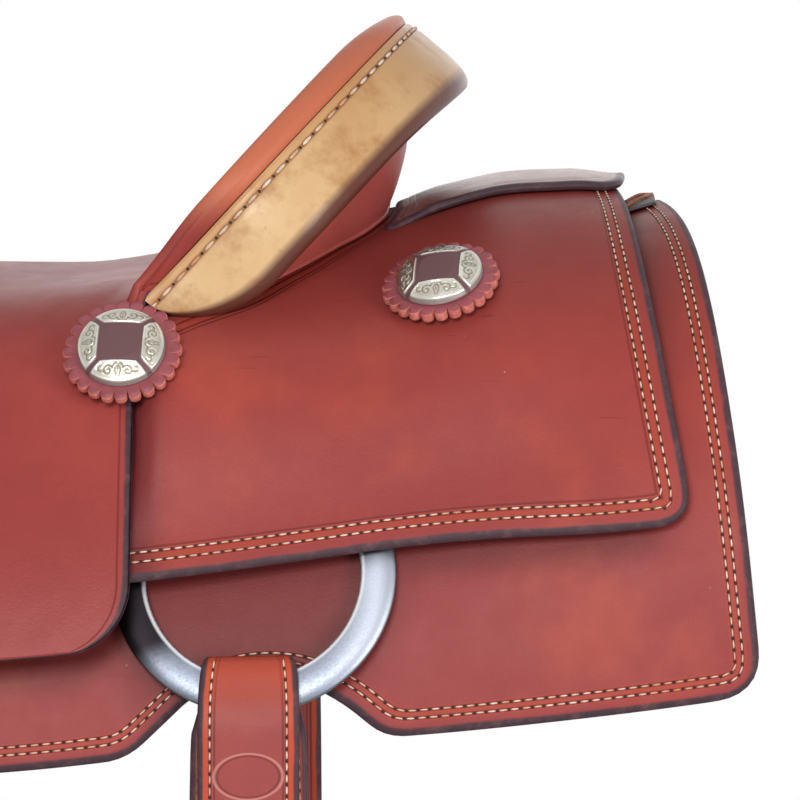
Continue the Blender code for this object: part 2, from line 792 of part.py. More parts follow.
def tree_cantle():
    """The wooden cantle board: it stands on both bars and backs the seat's dish up to the rim."""
    rings = []
    for share in cantle_shares(15):
        top = 0.95 - 0.2 * share**8
        outer = [cantle_surface(share, u, 5.4) for u in (0.0, 0.25, 0.5, 0.75, top)]
        rows = [BOARD_TOP_ROW - 0.95 * share**8 - step for step in (0, 1, 2)]
        inner = [dish_underside(share, row) for row in rows]
        rings.append([board_foot(share, 4.2)] + outer + inner + [board_foot(share, 22.0)])
    return loft("tree_cantle", rings, wood())


BOARD_TOP_ROW = SEAT_DISH_ROWS - 0.4


def dish_underside(share, dish_row):
    """A point just under the seat leather, on the line of the dish that meets the rim at share."""
    s = math.copysign(RIM_COLUMN_S * (abs(share) * SIDE_END) ** (1 / 0.9), share)
    rows = (SEAT_FRONT_ROWS, SEAT_DISH_ROWS, SEAT_ROLL_ROWS)
    row = SEAT_FRONT_ROWS + dish_row
    here = seat_point(s, row, *rows)
    along = seat_point(s, row + 1, *rows) - seat_point(s, row - 1, *rows)
    across = seat_point(s + 2, row, *rows) - seat_point(s - 2, row, *rows)
    return here - along.cross(across).normalized() * (LEATHER + 1.0)


def board_foot(share, inset):
    """A point of the board's foot on top of the bars, inset from the seam at its back."""
    size = abs(share) * (len(CANTLE_SEAM) - 1)
    x = curve([(i, k[0]) for i, k in enumerate(CANTLE_SEAM)])(size) - inset
    s = curve([(i, k[1]) for i, k in enumerate(CANTLE_SEAM)])(size) - inset * 0.8 * abs(share)
    return place_smooth(x, math.copysign(max(s, 0.0), share), BAR_EDGE_THICK + 2.8)


TAPER_START = 0.86
ROLL_STATIONS = 21


def roll_section(share, points):
    """Points (along the roll, out of the rim) placed at one station, tapered to the low end."""
    into = max(abs(share) - TAPER_START, 0.0) / (1 - TAPER_START)
    taper = 0.12 + 0.88 * math.sqrt(max(1 - into * into, 0.0))
    taper *= 1.09 - 0.09 * smoothstep(0.1, 0.55, abs(share))
    e1, e2 = roll_direction(), rim_normal(share)
    origin = rim(share)
    return [origin + e1 * a * taper + e2 * b * min(0.4 + 0.6 * taper, 1.0) for a, b in points]


def roll_shares(count):
    """Stations along the rim, closer together towards the low ends."""
    return [math.sin(math.pi / 2 * (-1 + 2 * i / (count - 1))) * 0.99 for i in range(count)]


def cantle_binding():
    """Rawhide laced round the edge of the roll: over the top, round the lip and back beneath it."""
    w, h, t = ROLL_WIDTH, ROLL_THICK, BINDING_THICK
    outer = [(1.2, 0.0), (10, 1.5), (w - 9, 1.6), (w - 2.5, -0.6), (w, -4.5), (w - 2.5, -8.0)]
    outer += [(w - 9, -h), (9, -h)]
    inner = [(9, -h + t), (w - 9, -h + t), (w - 4, -7.0), (w - t, -4.5), (w - 4, -1.8), (w - 9, 1.6 - t)]
    inner += [(10, 1.5 - t), (1.2, -t)]
    rings = [roll_section(s, outer + inner) for s in roll_shares(ROLL_STATIONS)]
    loft("cantle_binding", rings, material("rawhide", (0.58, 0.34, 0.1), 0.4))


def cantle_roll():
    """The stiff leather filler that the rawhide is laced round."""
    w, h, t = ROLL_WIDTH, ROLL_THICK, BINDING_THICK + 0.4
    section = [(3.0, -t + 0.2), (10, 1.5 - t), (w - 10, 1.6 - t), (w - 5, -2.4), (w - t - 0.6, -4.5)]
    section += [(w - 5, -6.4), (w - 10, -h + t), (9.5, -h + t), (7, -h + t + 1.0)]
    rings = [roll_section(s, section) for s in roll_shares(ROLL_STATIONS)[1:-1]]
    loft("cantle_roll", rings, material("filler", (0.35, 0.2, 0.12), 0.7))


# Leather that lies on the horse


def skirt_outline():
    rear = [SKIRT_REAR_TOP, (267.5, 104), (274.5, 168), (282.5, 238), (288.5, 292)]
    corner = [(288.0, 306), (282, 316), (270, 318)]
    low = [(206, 305), (134, 294.5)]
    notch = [(118, 278), (101, 265), (78, 258), (55, 262), (42, 272), (26.5, SKIRT_LOW_S)]
    front_low = [(-120, SKIRT_LOW_S), (-300, SKIRT_LOW_S)]
    front_corner = [(-385, 282), (-403, 272), (-412, 255)]
    front = [(-420, 200), (SKIRT_FRONT_X, 130), (-414, 84)]
    inner = [(-300, 68), (-230, 52), (-180, CHANNEL_S), (100, CHANNEL_S), (150, 34), (190, 6)]
    return rear + corner + low + notch + front_low + front_corner + front + inner


def inset_outline(outline, amount):
    """Draw a simple outline in by a fixed amount."""
    area = sum(a[0] * b[1] - b[0] * a[1] for a, b in zip(outline, outline[1:] + outline[:1]))
    turn = 1 if area > 0 else -1
    made = []
    for i, point in enumerate(outline):
        before, after = outline[i - 1], outline[(i + 1) % len(outline)]
        one = Vector((point[0] - before[0], point[1] - before[1])).normalized()
        two = Vector((after[0] - point[0], after[1] - point[1])).normalized()
        middle = (one + two).normalized()
        normal = Vector((-middle.y, middle.x)) * turn * amount / max(middle.dot(one), 0.6)
        made.append((point[0] + normal.x, point[1] + normal.y))
    return made


def skirts(side, word):
    outline = skirt_outline()
    drape("skirt_" + word, outline, lambda x, s: -SKIRT_THICK, lambda x, s: 0.0, side, leather())
    wool = material("fleece", (0.75, 0.68, 0.55), 0.95)
    inner = inset_outline(outline, 4.0)
    drape(
        "fleece_" + word, inner, lambda x, s: FLEECE_BOTTOM, lambda x, s: FLEECE_TOP, side, wool,
        step=(GRID_X, 2 * GRID_S),
    )


def back_jockey(side, word):
    rear = [(234, 3), (241.5, 105), (251, 176), (259.5, 222)]
    corner = [(260, 230), (256, 236), (246, 238)]
    low = [(222, 233), (181, 224), (140, 218.5), (78, 215.5), (8, 214.5)]
    front = [(8, 152), (30, 138), (52, 121), (64, 114), (77, 106), (89, 97), (101, 87), (113, 74)]
    front += [(126, 57), (134, 31), (135, 3)]
    drape(
        "back_jockey_" + word, rear + corner + low + front,
        lambda x, s: jockey_offset(x, s) - LEATHER, jockey_offset, side, leather(),
        cuts=(TUCK_REAR - 0.1, 60, 135),
    )


def front_jockey(side, word):
    outline = [(-417, 84), (-422, 130), (-414, 172), (-392, 196), (-300, 200), (-226, 200), (-232, 176)]
    outline += [(-252, 158), (-272, 148), (-330, 146), (-384, 140), (-391, 130), (-391, 84)]
    drape(
        "front_jockey_" + word, outline,
        lambda x, s: front_jockey_offset(x, s) - LEATHER, front_jockey_offset, side, leather(),
        cuts=(TUCK_FRONT + 0.1,),
    )


def plate_offset(x, s):
    return JOCKEY_HIGH(x) + 4.6


def rear_plate():
    near = [(132, 57), (142, 53), (160, 45), (180, 41), (208, 41), (227, 37), (236, 26), (239, 8)]
    outline = [(x, -s) for x, s in near] + [(x, s) for x, s in reversed(near)] + [(138, 30), (138, -30)]
    drape(
        "rear_plate", outline, lambda x, s: plate_offset(x, s) - 4.0, plate_offset, 1.0, leather(),
        step=(30, GRID_S),
    )


def skirt_lace():
    """The laces that draw both skirts together over the loin."""
    path = [(-26, 1.6), (-12, 2.0), (0, 2.4), (12, 2.0), (26, 1.6)]
    rings = []
    for s, lift in path:
        corners = ((238, lift), (252, lift), (252, lift + 2.4), (238, lift + 2.4))
        rings.append([place_smooth(x, s, offset) for x, offset in corners])
    loft("skirt_lace", rings, material("lace", (0.1, 0.06, 0.04), 0.7))


# Rings, rigging straps and billets


class RingFrame:
    """The plane of a rigging ring that lies on the side: down the slope, out of it, and along the horse."""

    def __init__(self, x, side):
        top, bottom = place(x, side * RING_TOP_S), place(x, side * RING_BOTTOM_S)
        self.down = (bottom - top).normalized()
        self.out = Vector((0, side * abs(self.down.z), abs(self.down.y)))
        self.centre = (top + bottom) / 2 + self.out * RING_STAND_OFF
        self.x = x
        along = Vector((2 * RING_OUTER, 0, exact_ridge(x + RING_OUTER) - exact_ridge(x - RING_OUTER)))
        self.axis = along.cross(self.down).normalized()
        if self.axis.dot(self.out) < 0:
            self.axis = -self.axis
        self.tilt = -self.axis.x / self.axis.dot(self.out)

    def at(self, down, out, x):
        """A point down the ring's plane, out of it and along the horse, tilted as the plane is."""
        point = self.centre + self.down * down + self.out * (out + self.tilt * x)
        return Vector((self.x + x, point.y, point.z))

    def local(self, point):
        """Where a point at the ring's own x lies, down the plane and out of it."""
        away = point - self.centre
        return away.dot(self.down), away.dot(self.out)


def ring(name, frame):
    half = RING_THICK / 2
    bevel = 1.0
    profile = [
        (RING_INNER, half - bevel), (RING_INNER + bevel, half), (RING_OUTER - bevel, half),
        (RING_OUTER, half - bevel), (RING_OUTER, -half), (RING_INNER, -half),
    ]
    turned(name, profile, frame.centre, frame.axis, steel(), 28)


def rigging_strap(name, frame, side):
    """A doubled strap from the top of the bar round the top of the ring."""
    half = BILLET_WIDTH / 2
    on_bar = [(128, 20.8), (140, 17.4), (148, 16.6)]
    path = [frame.local(place(frame.x, side * s, offset)) for s, offset in on_bar]
    path += [(-60, 4.8), (-46, 4.7), (-36, 4.6), (-33, 0), (-36, -4.4), (-46, -4.5), (-58, -4.5), (-64, -4.6)]
    ribbon(name, [(a, b, -half, half) for a, b in path], 3.2, frame.at, leather())


def hanging_strap(name, frame, length, origin):
    """A doubled strap looped round the bottom of the ring, whose two layers hang straight down."""
    half, wide = BILLET_WIDTH / 2, 25.0
    outer, inner = frame.at(72, 2.4, 0), frame.at(72, -1.8, 0)
    down = [(*frame.local(inner), wide), (*frame.local(outer), half)]
    fall = Vector((0, 0, -1))
    step = (fall.dot(frame.down), fall.dot(frame.out))
    back_end = (down[0][0] + step[0] * length, down[0][1] + step[1] * length, wide)
    front_end = (down[1][0] + step[0] * length, down[1][1] + step[1] * length, half)
    path = [back_end, down[0], (60, -4.9, 22), (48, -4.8, 19), (38.4, -4.9, 18), (35.8, 0, 18)]
    path += [(39, 5, 19.5), (48, 5, 20.5), (60, 5, half), down[1], front_end]
    shift = -1.5
    shaped = [(a, b, shift - e, shift + e) for a, b, e in path]
    ribbon(name, shaped, STRAP_THICK, frame.at, leather(), origin)


def rigging(side, word):
    for end, x in (("rear", REAR_RING_X), ("front", FRONT_RING_X)):
        frame = RingFrame(x, side)
        ring(end + "_ring_" + word, frame)
        rigging_strap(end + "_rigging_strap_" + word, frame, side)
        if end == "rear":
            hanging_strap("flank_billet_" + word, frame, BILLET_LENGTH, frame.centre)
        else:
            name = "latigo_left" if side < 0 else "off_billet_right"
            hanging_strap(name, frame, BILLET_LENGTH - 40, frame.centre)


# Stirrup gear


class Hang:
    """The sheet that a stirrup leather and its fender lie in: straight down the skirt, then vertical."""

    def __init__(self, side):
        self.side = side
        top, bottom = place(HANG_X, side * 175), place(HANG_X, side * 282)
        self.start = (bottom - top).normalized()
        self.angle = math.atan2(-self.start.z, abs(self.start.y))
        self.base = top + self.start * (HANG_S - 175)

    def at(self, down, out, x):
        """down the sheet from the pivot, out of it, and along the horse."""
        y, z = 0.0, 0.0
        angle = self.angle
        straight = min(down, HANG_STRAIGHT)
        y, z = straight * math.cos(angle), -straight * math.sin(angle)
        bend = min(max(down - HANG_STRAIGHT, 0.0), HANG_CURVE)
        if bend > 0:
            rate = (math.pi / 2 - self.angle) / HANG_CURVE
            y += (math.sin(self.angle + rate * bend) - math.sin(self.angle)) / rate
            z += (math.cos(self.angle + rate * bend) - math.cos(self.angle)) / rate
            angle = self.angle + rate * bend
        rest = max(down - HANG_STRAIGHT - HANG_CURVE, 0.0)
        z -= rest
        return Vector(
            (
                HANG_X + x,
                self.base.y + self.side * (y + out * math.sin(angle)),
                self.base.z + z + out * math.cos(angle),
            )
        )


STACK_INNER, STACK_MIDDLE, STACK_OUTER = 12.8, 16.9, 21.2


def leather_loop(side, word, hang):
    """The stirrup leather's upper turn round the bar, ending in a single tongue at the pivot."""
    half = LEATHER_WIDTH / 2
    points = []
    for down, out in ((24, STACK_MIDDLE), (-10, STACK_MIDDLE)):
        points.append(hang.at(down, out, 0))
    points.append(place(HANG_X, side * 148, GROOVE_TOP + 3.6))
    for s in (138, 120, 100, 80, 60):
        points.append(place(HANG_X, side * s, GROOVE_TOP + 2.8))
    for s, offset in ((43, 15), (40, 9), (43, 3.4), (60, 2.7), (80, 2.7), (100, 2.7), (120, 2.7), (136, 2.7)):
        points.append(place(HANG_X, side * s, offset))
    flat = [(abs(p.y), p.z, HANG_X - half, HANG_X + half) for p in points]

    def to_space(across, up, x):
        lift = (ridge(x) - ridge(HANG_X)) * smoothstep(-25, 0, up)
        return Vector((x, side * across, up + lift))

    ribbon("leather_loop_" + word, flat, 3.2, to_space, leather())


def stirrup_leather(word, hang, pivot):
    half = LEATHER_WIDTH / 2
    path = [(d, STACK_INNER) for d in (-5, 0, 9, 24, 60, 105, 160, 215, 270, 325, 434)]
    path += [(BOLT_DROP - 18, STACK_MIDDLE - 10.5), (BOLT_DROP - 4, STACK_MIDDLE - 12.0)]
    path += arc((BOLT_DROP, STACK_MIDDLE), 12.2, -70, 70, 6)
    path += [(BOLT_DROP - 4, STACK_MIDDLE + 12.0), (BOLT_DROP - 18, STACK_MIDDLE + 10.5), (434, STACK_MIDDLE)]
    path += [(d, STACK_MIDDLE) for d in (325, 270, 215, 160, 105, 44)]
    widths = [12, 20, 27] + [half] * (len(path) - 3)
    shaped = [(a, b, -wide, wide) for (a, b), wide in zip(path, widths)]
    ribbon("stirrup_leather_" + word, shaped, 3.2, hang.at, leather(), pivot)


def fender(word, hang, pivot):
    edge = [(-11, 16), (-8, 26), (0, 33), (40, 56), (90, 76), (150, 88), (210, 90), (270, 80), (330, 60)]
    edge += [(385, 35), (426, 31)]
    front = [(-w, d) for d, w in edge]
    rear = [(min(w, 0.74 * w + 3), d) for d, w in reversed(edge)]
    drape(
        "fender_" + word, front + rear, lambda x, d: STACK_OUTER - 1.9, lambda x, d: STACK_OUTER + 1.9, 1.0,
        leather(), at=lambda x, d, out: hang.at(d, out, x), step=(200, 30),
    )


def hobble_strap(word, hang):
    """The band that keeps both layers of the leather together above the stirrup."""
    half_x, low, high, wall = LEATHER_WIDTH / 2 + 4.5, STACK_INNER - 4.2, STACK_OUTER + 4.6, 2.6
    rings = []
    for down in (398, 424):
        corners = []
        for grow in (0, wall):
            x, a, b = half_x + grow, low - grow, high + grow
            corners.append([hang.at(down, *at) for at in ((a, -x), (a, x), (b, x), (b, -x))])
        rings.append(corners)
    bm = bmesh.new()
    made = [[[bm.verts.new(p) for p in loop] for loop in ring_] for ring_ in rings]
    for i in range(4):
        j = (i + 1) % 4
        for loop in (0, 1):
            bm.faces.new([made[0][loop][i], made[0][loop][j], made[1][loop][j], made[1][loop][i]])
        for end in (0, 1):
            bm.faces.new([made[end][0][i], made[end][0][j], made[end][1][j], made[end][1][i]])
    bmesh.ops.triangulate(bm, faces=bm.faces)
    finish("hobble_strap_" + word, bm, leather())


def stirrup(word, hang, bolt):
    """A bound wooden stirrup: two ears for the bolt, flared sides and a flat tread."""
    ear, flare, half = 41.0, 66.0, STIRRUP_WIDTH / 2 - 5
    side = [(ear, 14), (ear + 1, -22), (flare - 8, -70), (flare + 1, -112)]
    path = [(x, z, 15) for x, z in side[:2]] + [(x, z, 21) for x, z in side[2:]]
    path += [(half - 8, -STIRRUP_HEIGHT + 14, 24), (half - 20, -STIRRUP_HEIGHT, 26), (0, -STIRRUP_HEIGHT, 26)]
    full = path + [(-x, z, e) for x, z, e in reversed(path[:-1])]
    shaped = [(x, z, -e, e) for x, z, e in full]
    body = ribbon(
        "stirrup_" + word, shaped, 11.0, lambda x, z, y: bolt + Vector((x, y, z)),
        material("stirrup_wood", (0.35, 0.2, 0.1), 0.5), bolt,
    )
    bore(body, bolt, (1, 0, 0), 5.4, 120)


def stirrup_gear(side, word):
    hang = Hang(side)
    pivot = hang.at(0, STACK_MIDDLE, 0)
    bolt = hang.at(BOLT_DROP, STACK_MIDDLE, 0)
    leather_loop(side, word, hang)
    stirrup_leather(word, hang, pivot)
    fender(word, hang, pivot)
    hobble_strap(word, hang)
    stirrup(word, hang, bolt)
    bolt_profile = [(0, -54), (8, -54), (8, -48.5), (5, -48.5), (5, 48.5), (8, 48.5), (8, 54), (0, 54)]
    turned("stirrup_bolt_" + word, bolt_profile, bolt, (1, 0, 0), steel(), 10)
    roller = [(5.6, -33), (10, -33), (10, 33), (5.6, 33)]
    brass = material("brass", (0.6, 0.42, 0.15), 0.35, 1.0)
    turned("stirrup_roller_" + word, roller, bolt, (1, 0, 0), brass, 12)


# Silver and trim


def trim_frame(x, s, offset):
    centre = place_smooth(x, s, offset(x, s))
    ahead = place_smooth(x + 6, s, offset(x + 6, s)) - place_smooth(x - 6, s, offset(x - 6, s))
    side = 1 if s >= 0 else -1
    low, high = s + side * 6, s - side * 6
    down = place_smooth(x, low, offset(x, low)) - place_smooth(x, high, offset(x, high))
    normal = ahead.cross(down).normalized()
    if normal.z < 0:
        normal = -normal
    return centre, normal


def concho_pair(word, side, number, x, s, offset):
    """A domed concho on a leather rosette with a scalloped edge."""
    centre, normal = trim_frame(x, side * s, offset)
    lift = ROSETTE_LIFT[number]
    across = normal.orthogonal().normalized()
    along = normal.cross(across)
    rings = []
    for height in (lift, lift + ROSETTE_THICK):
        points = []
        for i in range(ROSETTE_SCALLOPS * 2):
            angle = 2 * math.pi * i / (ROSETTE_SCALLOPS * 2)
            radius = ROSETTE_RADIUS - (2.4 if i % 2 == 0 else 0.0)
            outwards = math.cos(angle) * across + math.sin(angle) * along
            points.append(centre + normal * height + radius * outwards)
        rings.append(points)
    name = "{}_" + word + "_" + str(number)
    loft(name.format("rosette"), rings, leather(), False, centre)
    base = lift + ROSETTE_THICK + 0.3
    dome = [(0, base), (CONCHO_RADIUS, base), (CONCHO_RADIUS, base + 1.2), (CONCHO_RADIUS * 0.8, base + 4.2)]
    dome += [(CONCHO_RADIUS * 0.5, base + 6.3), (0, base + CONCHO_HEIGHT)]
    turned(name.format("concho"), dome, centre, normal, material("silver", (0.75, 0.72, 0.66), 0.25, 1.0), 16)


def rope_strap():
    """A short strap on the off-side swell that holds the coiled rope."""
    path = [(157.5, 118), (160.5, 104), (161, 80), (160, 52), (163.5, 48), (167, 52), (167, 80), (166, 106)]
    shaped = [(a, b, -338, -316) for a, b in path]
    ribbon("rope_strap", shaped, 2.6, lambda a, b, x: Vector((x, a, b)), leather(), (FORK_X, 158, 118))


def build():
    clear_scene()
    tree_fork()
    tree_cantle()
    ground_seat()
    fork_cover()
    horn()
    horn_wrap()
    horn_cap()
    seat()
    cantle_back()
    cantle_roll()
    cantle_binding()
    rear_plate()
    skirt_lace()
    rope_strap()
    for side, word in ((-1.0, "left"), (1.0, "right")):
        tree_bar("tree_bar_" + word, side)
        skirts(side, word)
        back_jockey(side, word)
        front_jockey(side, word)
        rigging(side, word)
        stirrup_gear(side, word)
        concho_pair(word, side, 1, 25.0, 132.0, seat_offset)
        concho_pair(word, side, 2, 158.0, 117.0, jockey_offset)


build()
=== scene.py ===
# %% [markdown]
# # A roping saddle, dressed for its picture
#
# A saddle is layer on layer of thick vegetable-tanned leather over a wooden tree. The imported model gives
# every piece its place. Here each leather piece that shows is made again with a fine mesh, rounded and
# burnished edges, stitches and grain, in the same shape as the solid that it stands for.

# %% Load the frame
import math

import bmesh
import bpy
import numpy as np
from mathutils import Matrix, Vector


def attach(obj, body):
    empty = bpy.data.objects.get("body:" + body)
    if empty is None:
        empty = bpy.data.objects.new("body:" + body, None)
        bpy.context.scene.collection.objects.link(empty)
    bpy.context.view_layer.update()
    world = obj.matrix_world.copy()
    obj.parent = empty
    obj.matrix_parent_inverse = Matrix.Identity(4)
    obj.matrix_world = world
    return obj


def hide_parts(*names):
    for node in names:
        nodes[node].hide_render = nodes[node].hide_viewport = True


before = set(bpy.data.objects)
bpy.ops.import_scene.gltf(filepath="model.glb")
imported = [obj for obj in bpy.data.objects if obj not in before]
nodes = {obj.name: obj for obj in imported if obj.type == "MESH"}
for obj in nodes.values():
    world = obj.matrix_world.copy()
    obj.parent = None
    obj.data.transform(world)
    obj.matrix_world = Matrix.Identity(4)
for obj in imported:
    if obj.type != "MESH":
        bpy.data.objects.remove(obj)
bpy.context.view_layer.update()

# %% [markdown]
# ## Camera and light
#
# The photograph is taken from the near side, level with the seat and from a couple of metres away, so the
# lens is long. A long lens keeps parallel edges parallel. The light is a plain white studio: a bright world,
# two soft lamps in front, weaker ones above and behind, and a pale floor.

# %% Camera
ELEVATION = math.radians(2.5)
AIM = Vector((0.140, -0.150, 0.0074))
camera = bpy.data.objects.new("camera", bpy.data.cameras.new("camera"))
camera.data.sensor_width = 36.0
camera.data.lens = 259.2
camera.data.clip_end = 20.0
back = Vector((0, -math.cos(ELEVATION), math.sin(ELEVATION)))
camera.location = AIM + back * 2.4
camera.rotation_mode = "QUATERNION"
camera.rotation_quaternion = (-back).to_track_quat("-Z", "Y")
bpy.context.scene.collection.objects.link(camera)
bpy.context.scene.camera = camera


# %% Lamps
def lamp(name, place, target, size, power):
    light = bpy.data.lights.new(name, "AREA")
    light.shape = "RECTANGLE"
    light.size, light.size_y = size
    light.energy = power
    thing = bpy.data.objects.new(name, light)
    thing.location = place
    thing.rotation_mode = "QUATERNION"
    thing.rotation_quaternion = (Vector(target) - Vector(place)).to_track_quat("-Z", "Y")
    bpy.context.scene.collection.objects.link(thing)


lamp("front_softbox", (-0.3, -2.6, 0.75), (0.05, 0.0, -0.05), (1.0, 0.8), 40.0)
lamp("right_softbox", (1.7, -2.0, 0.1), (0.1, 0.0, -0.08), (1.0, 1.2), 26.0)
lamp("top_softbox", (0.0, -0.3, 1.8), (0.0, 0.0, 0.0), (1.6, 1.2), 3.0)
lamp("far_softbox", (0.2, 2.2, 0.7), (0.0, 0.0, 0.0), (1.8, 1.2), 4.0)
bpy.context.scene.view_settings.view_transform = "Standard"

# %% [markdown]
# ## Shader maths in Python
#
# A material is a web of nodes, and most of its wires carry plain numbers. One small class wraps such a wire
# and lets it be added and multiplied like a number, so a pattern reads as a formula.


# %% The wire and the paint
class Wire:
    """A number that changes over a surface."""

    def __init__(self, paint, socket):
        self.paint, self.socket = paint, socket

    def __add__(self, other):
        return self.paint.math("ADD", self, other)

    def __sub__(self, other):
        return self.paint.math("SUBTRACT", self, other)

    def __rsub__(self, other):
        return self.paint.math("SUBTRACT", other, self)

    def __mul__(self, other):
        return self.paint.math("MULTIPLY", self, other)

    def __truediv__(self, other):
        return self.paint.math("DIVIDE", self, other)

    def __abs__(self):
        return self.paint.math("ABSOLUTE", self, 0.0)

    __radd__, __rmul__ = __add__, __mul__


def feed(tree, socket, value):
    """Link a socket to another one, or give it a fixed value."""
    if isinstance(value, Wire):
        value = value.socket
    if isinstance(value, bpy.types.NodeSocket):
        tree.links.new(value, socket)
    else:
        socket.default_value = value


def add_node(tree, kind, settings=None, **sockets):
    made = tree.nodes.new(kind)
    for key, value in (settings or {}).items():
        setattr(made, key, value)
    for key, value in sockets.items():
        feed(tree, made.inputs[key.replace("_", " ")], value)
    return made


class Paint:
    """Builds the nodes of one material."""

    def __init__(self, name):
        self.material = bpy.data.materials.new(name)
        self.material.use_nodes = True
        self.tree = self.material.node_tree
        self.shader = self.tree.nodes["Principled BSDF"]
        self.place = self.node("ShaderNodeTexCoord").outputs["Object"]

    def feed(self, socket, value):
        feed(self.tree, socket, value)

    def node(self, kind, settings=None, **sockets):
        return add_node(self.tree, kind, settings, **sockets)

    def math(self, operation, first, second):
        made = self.node("ShaderNodeMath", {"operation": operation})
        self.feed(made.inputs[0], first)
        self.feed(made.inputs[1], second)
        return Wire(self, made.outputs[0])

    def attribute(self, name):
        """A number stored per point, in millimetres."""
        return Wire(self, self.node("ShaderNodeAttribute", {"attribute_name": name}).outputs["Fac"]) * 1000.0

    def noise(self, scale, detail=3.0, rough=0.5, stretch=None):
        vector = self.place
        if stretch:
            vector = self.node("ShaderNodeMapping", Vector=vector, Scale=stretch).outputs[0]
        made = self.node("ShaderNodeTexNoise", Vector=vector, Scale=scale, Detail=detail, Roughness=rough)
        return Wire(self, made.outputs["Fac"])

    def cells(self, scale):
        made = self.node("ShaderNodeTexVoronoi", Vector=self.place, Scale=scale)
        return Wire(self, made.outputs["Distance"])

    def between(self, value, low, high):
        """0 at low and 1 at high, smooth between them; low may be the larger."""
        made = self.node("ShaderNodeMapRange", {"interpolation_type": "SMOOTHSTEP"})
        for key, number in (("Value", value), ("From Min", low), ("From Max", high)):
            self.feed(made.inputs[key], number)
        return Wire(self, made.outputs[0])

    def line(self, value, at, width):
        """1 on a thin line where the value equals at."""
        return self.between(abs(value - at), width, 0.0)

    def mix(self, factor, first, second, blend="MIX"):
        made = self.node("ShaderNodeMix", {"data_type": "RGBA", "blend_type": blend})
        for index, value in ((0, factor), (6, first), (7, second)):
            self.feed(made.inputs[index], value)
        return made.outputs[2]

    def bump(self, height, distance, strength):
        return self.node("ShaderNodeBump", Height=height, Distance=distance, Strength=strength).outputs[0]

    def finish(self, colour, roughness, normal=None, **fixed):
        self.feed(self.shader.inputs["Base Color"], colour)
        self.feed(self.shader.inputs["Roughness"], roughness)
        if normal is not None:
            self.feed(self.shader.inputs["Normal"], normal)
        for key, value in fixed.items():
            self.feed(self.shader.inputs[key.replace("_", " ")], value)
        return self.material


def srgb(red, green, blue):
    """A colour given as it looks on a screen, 0 to 255, in the linear values that shaders use."""
    linear = []
    for part in (red, green, blue):
        part /= 255
        linear.append(part / 12.92 if part <= 0.04045 else ((part + 0.055) / 1.055) ** 2.4)
    return (*linear, 1.0)


# %% [markdown]
# ## Leather
#
# Skirting leather is dyed through and oiled. Close up it has fine pores, a slow change of red over a hand's
# breadth, some scratches and specks, and an edge that is rubbed dark and smooth with a wet cloth. Each sheet
# carries an attribute with the distance to its own edge, so the dark edge, the creased lines and the
# grooves for the stitches all follow the outline.


# %% Leather finish
def leather_finish(name, tones, grooves=(), creases=(), dark_edge=4.2, gloss=0.44, top_shade=0.45, touch=None):
    paint = Paint(name)
    edge = paint.attribute("edge")
    slow = paint.noise(5.0, 2.0)
    patch = paint.noise(17.0, 3.0)
    mottle = paint.noise(70.0, 4.0, 0.6)
    base = paint.mix(paint.between(slow, 0.35, 0.65), srgb(*tones[0]), srgb(*tones[1]))
    base = paint.mix(paint.between(patch, 0.52, 0.72) * 0.55, base, srgb(*tones[2]))
    base = paint.mix(paint.between(mottle, 0.3, 0.7) * 0.22, base, srgb(*tones[3]))
    scratch = paint.noise(60.0, 2.0, 0.5, stretch=(0.5, 6.0, 9.0))
    marks = paint.between(scratch, 0.70, 0.76) * paint.between(slow, 0.45, 0.6)
    base = paint.mix(marks * 0.5, base, srgb(112, 40, 40))
    specks = paint.between(paint.cells(70.0), 0.045, 0.02)
    base = paint.mix(specks * 0.5 * paint.between(patch, 0.45, 0.6), base, srgb(225, 180, 165))
    if len(grooves) > 1:
        middle, reach = (grooves[0] + grooves[1]) / 2, (grooves[1] - grooves[0]) / 2
        sewn = paint.between(abs(edge - middle), reach + 1.8, reach + 0.6)
        base = paint.mix(sewn * 0.45, base, srgb(176, 70, 46))
    grain = paint.cells(1100.0)
    pores = paint.noise(650.0, 3.0, 0.6)
    height = grain * 0.35 + pores * 0.5 + mottle * 0.9 - marks * 0.5
    soft = 0.0
    for at in grooves:
        soft = paint.line(edge, at, 1.0) + soft
    for at in creases:
        soft = paint.line(edge, at, 0.7) * 0.8 + soft
    if grooves or creases:
        # Painted shade in the stitch grooves and creases, besides their sunk relief.
        base = paint.mix(soft * 0.62, base, srgb(78, 26, 26))
        height = height - soft * 2.6
    wobble = paint.noise(40.0, 3.0, 0.6)
    rim = paint.between(edge + (wobble - 0.5) * 1.6, dark_edge, dark_edge * 0.62)
    wear_and_shade = paint.noise(160.0, 4.0, 0.65)
    edge_colour = paint.mix(paint.between(wear_and_shade, 0.45, 0.75) * 0.5, srgb(70, 52, 58), srgb(116, 84, 86))
    height_up = paint.node("ShaderNodeSeparateXYZ", Vector=paint.place).outputs["Z"]
    # Painted shade: darker higher up, to 0.10 m, where the tops lie in less light.
    base = paint.mix(paint.between(height_up, 0.0, 0.10) * top_shade, base, srgb(92, 32, 27))
    if touch:
        base = touch(paint, base, edge, height_up)
    # Painted shade: darker under the edge of a covering sheet and inside the rigging ring.
    base = paint.mix(paint.attribute("shade") * 0.62, base, srgb(72, 24, 28))
    colour = paint.mix(rim, base, edge_colour)
    roughness = gloss + (mottle - 0.5) * 0.16 + rim * 0.1 + marks * 0.1
    shine = {"Coat_Weight": 0.03, "Coat_Roughness": 0.35, "Specular_IOR_Level": 0.14}
    return paint.finish(colour, roughness, paint.bump(height, 0.00022, 0.55), **shine)


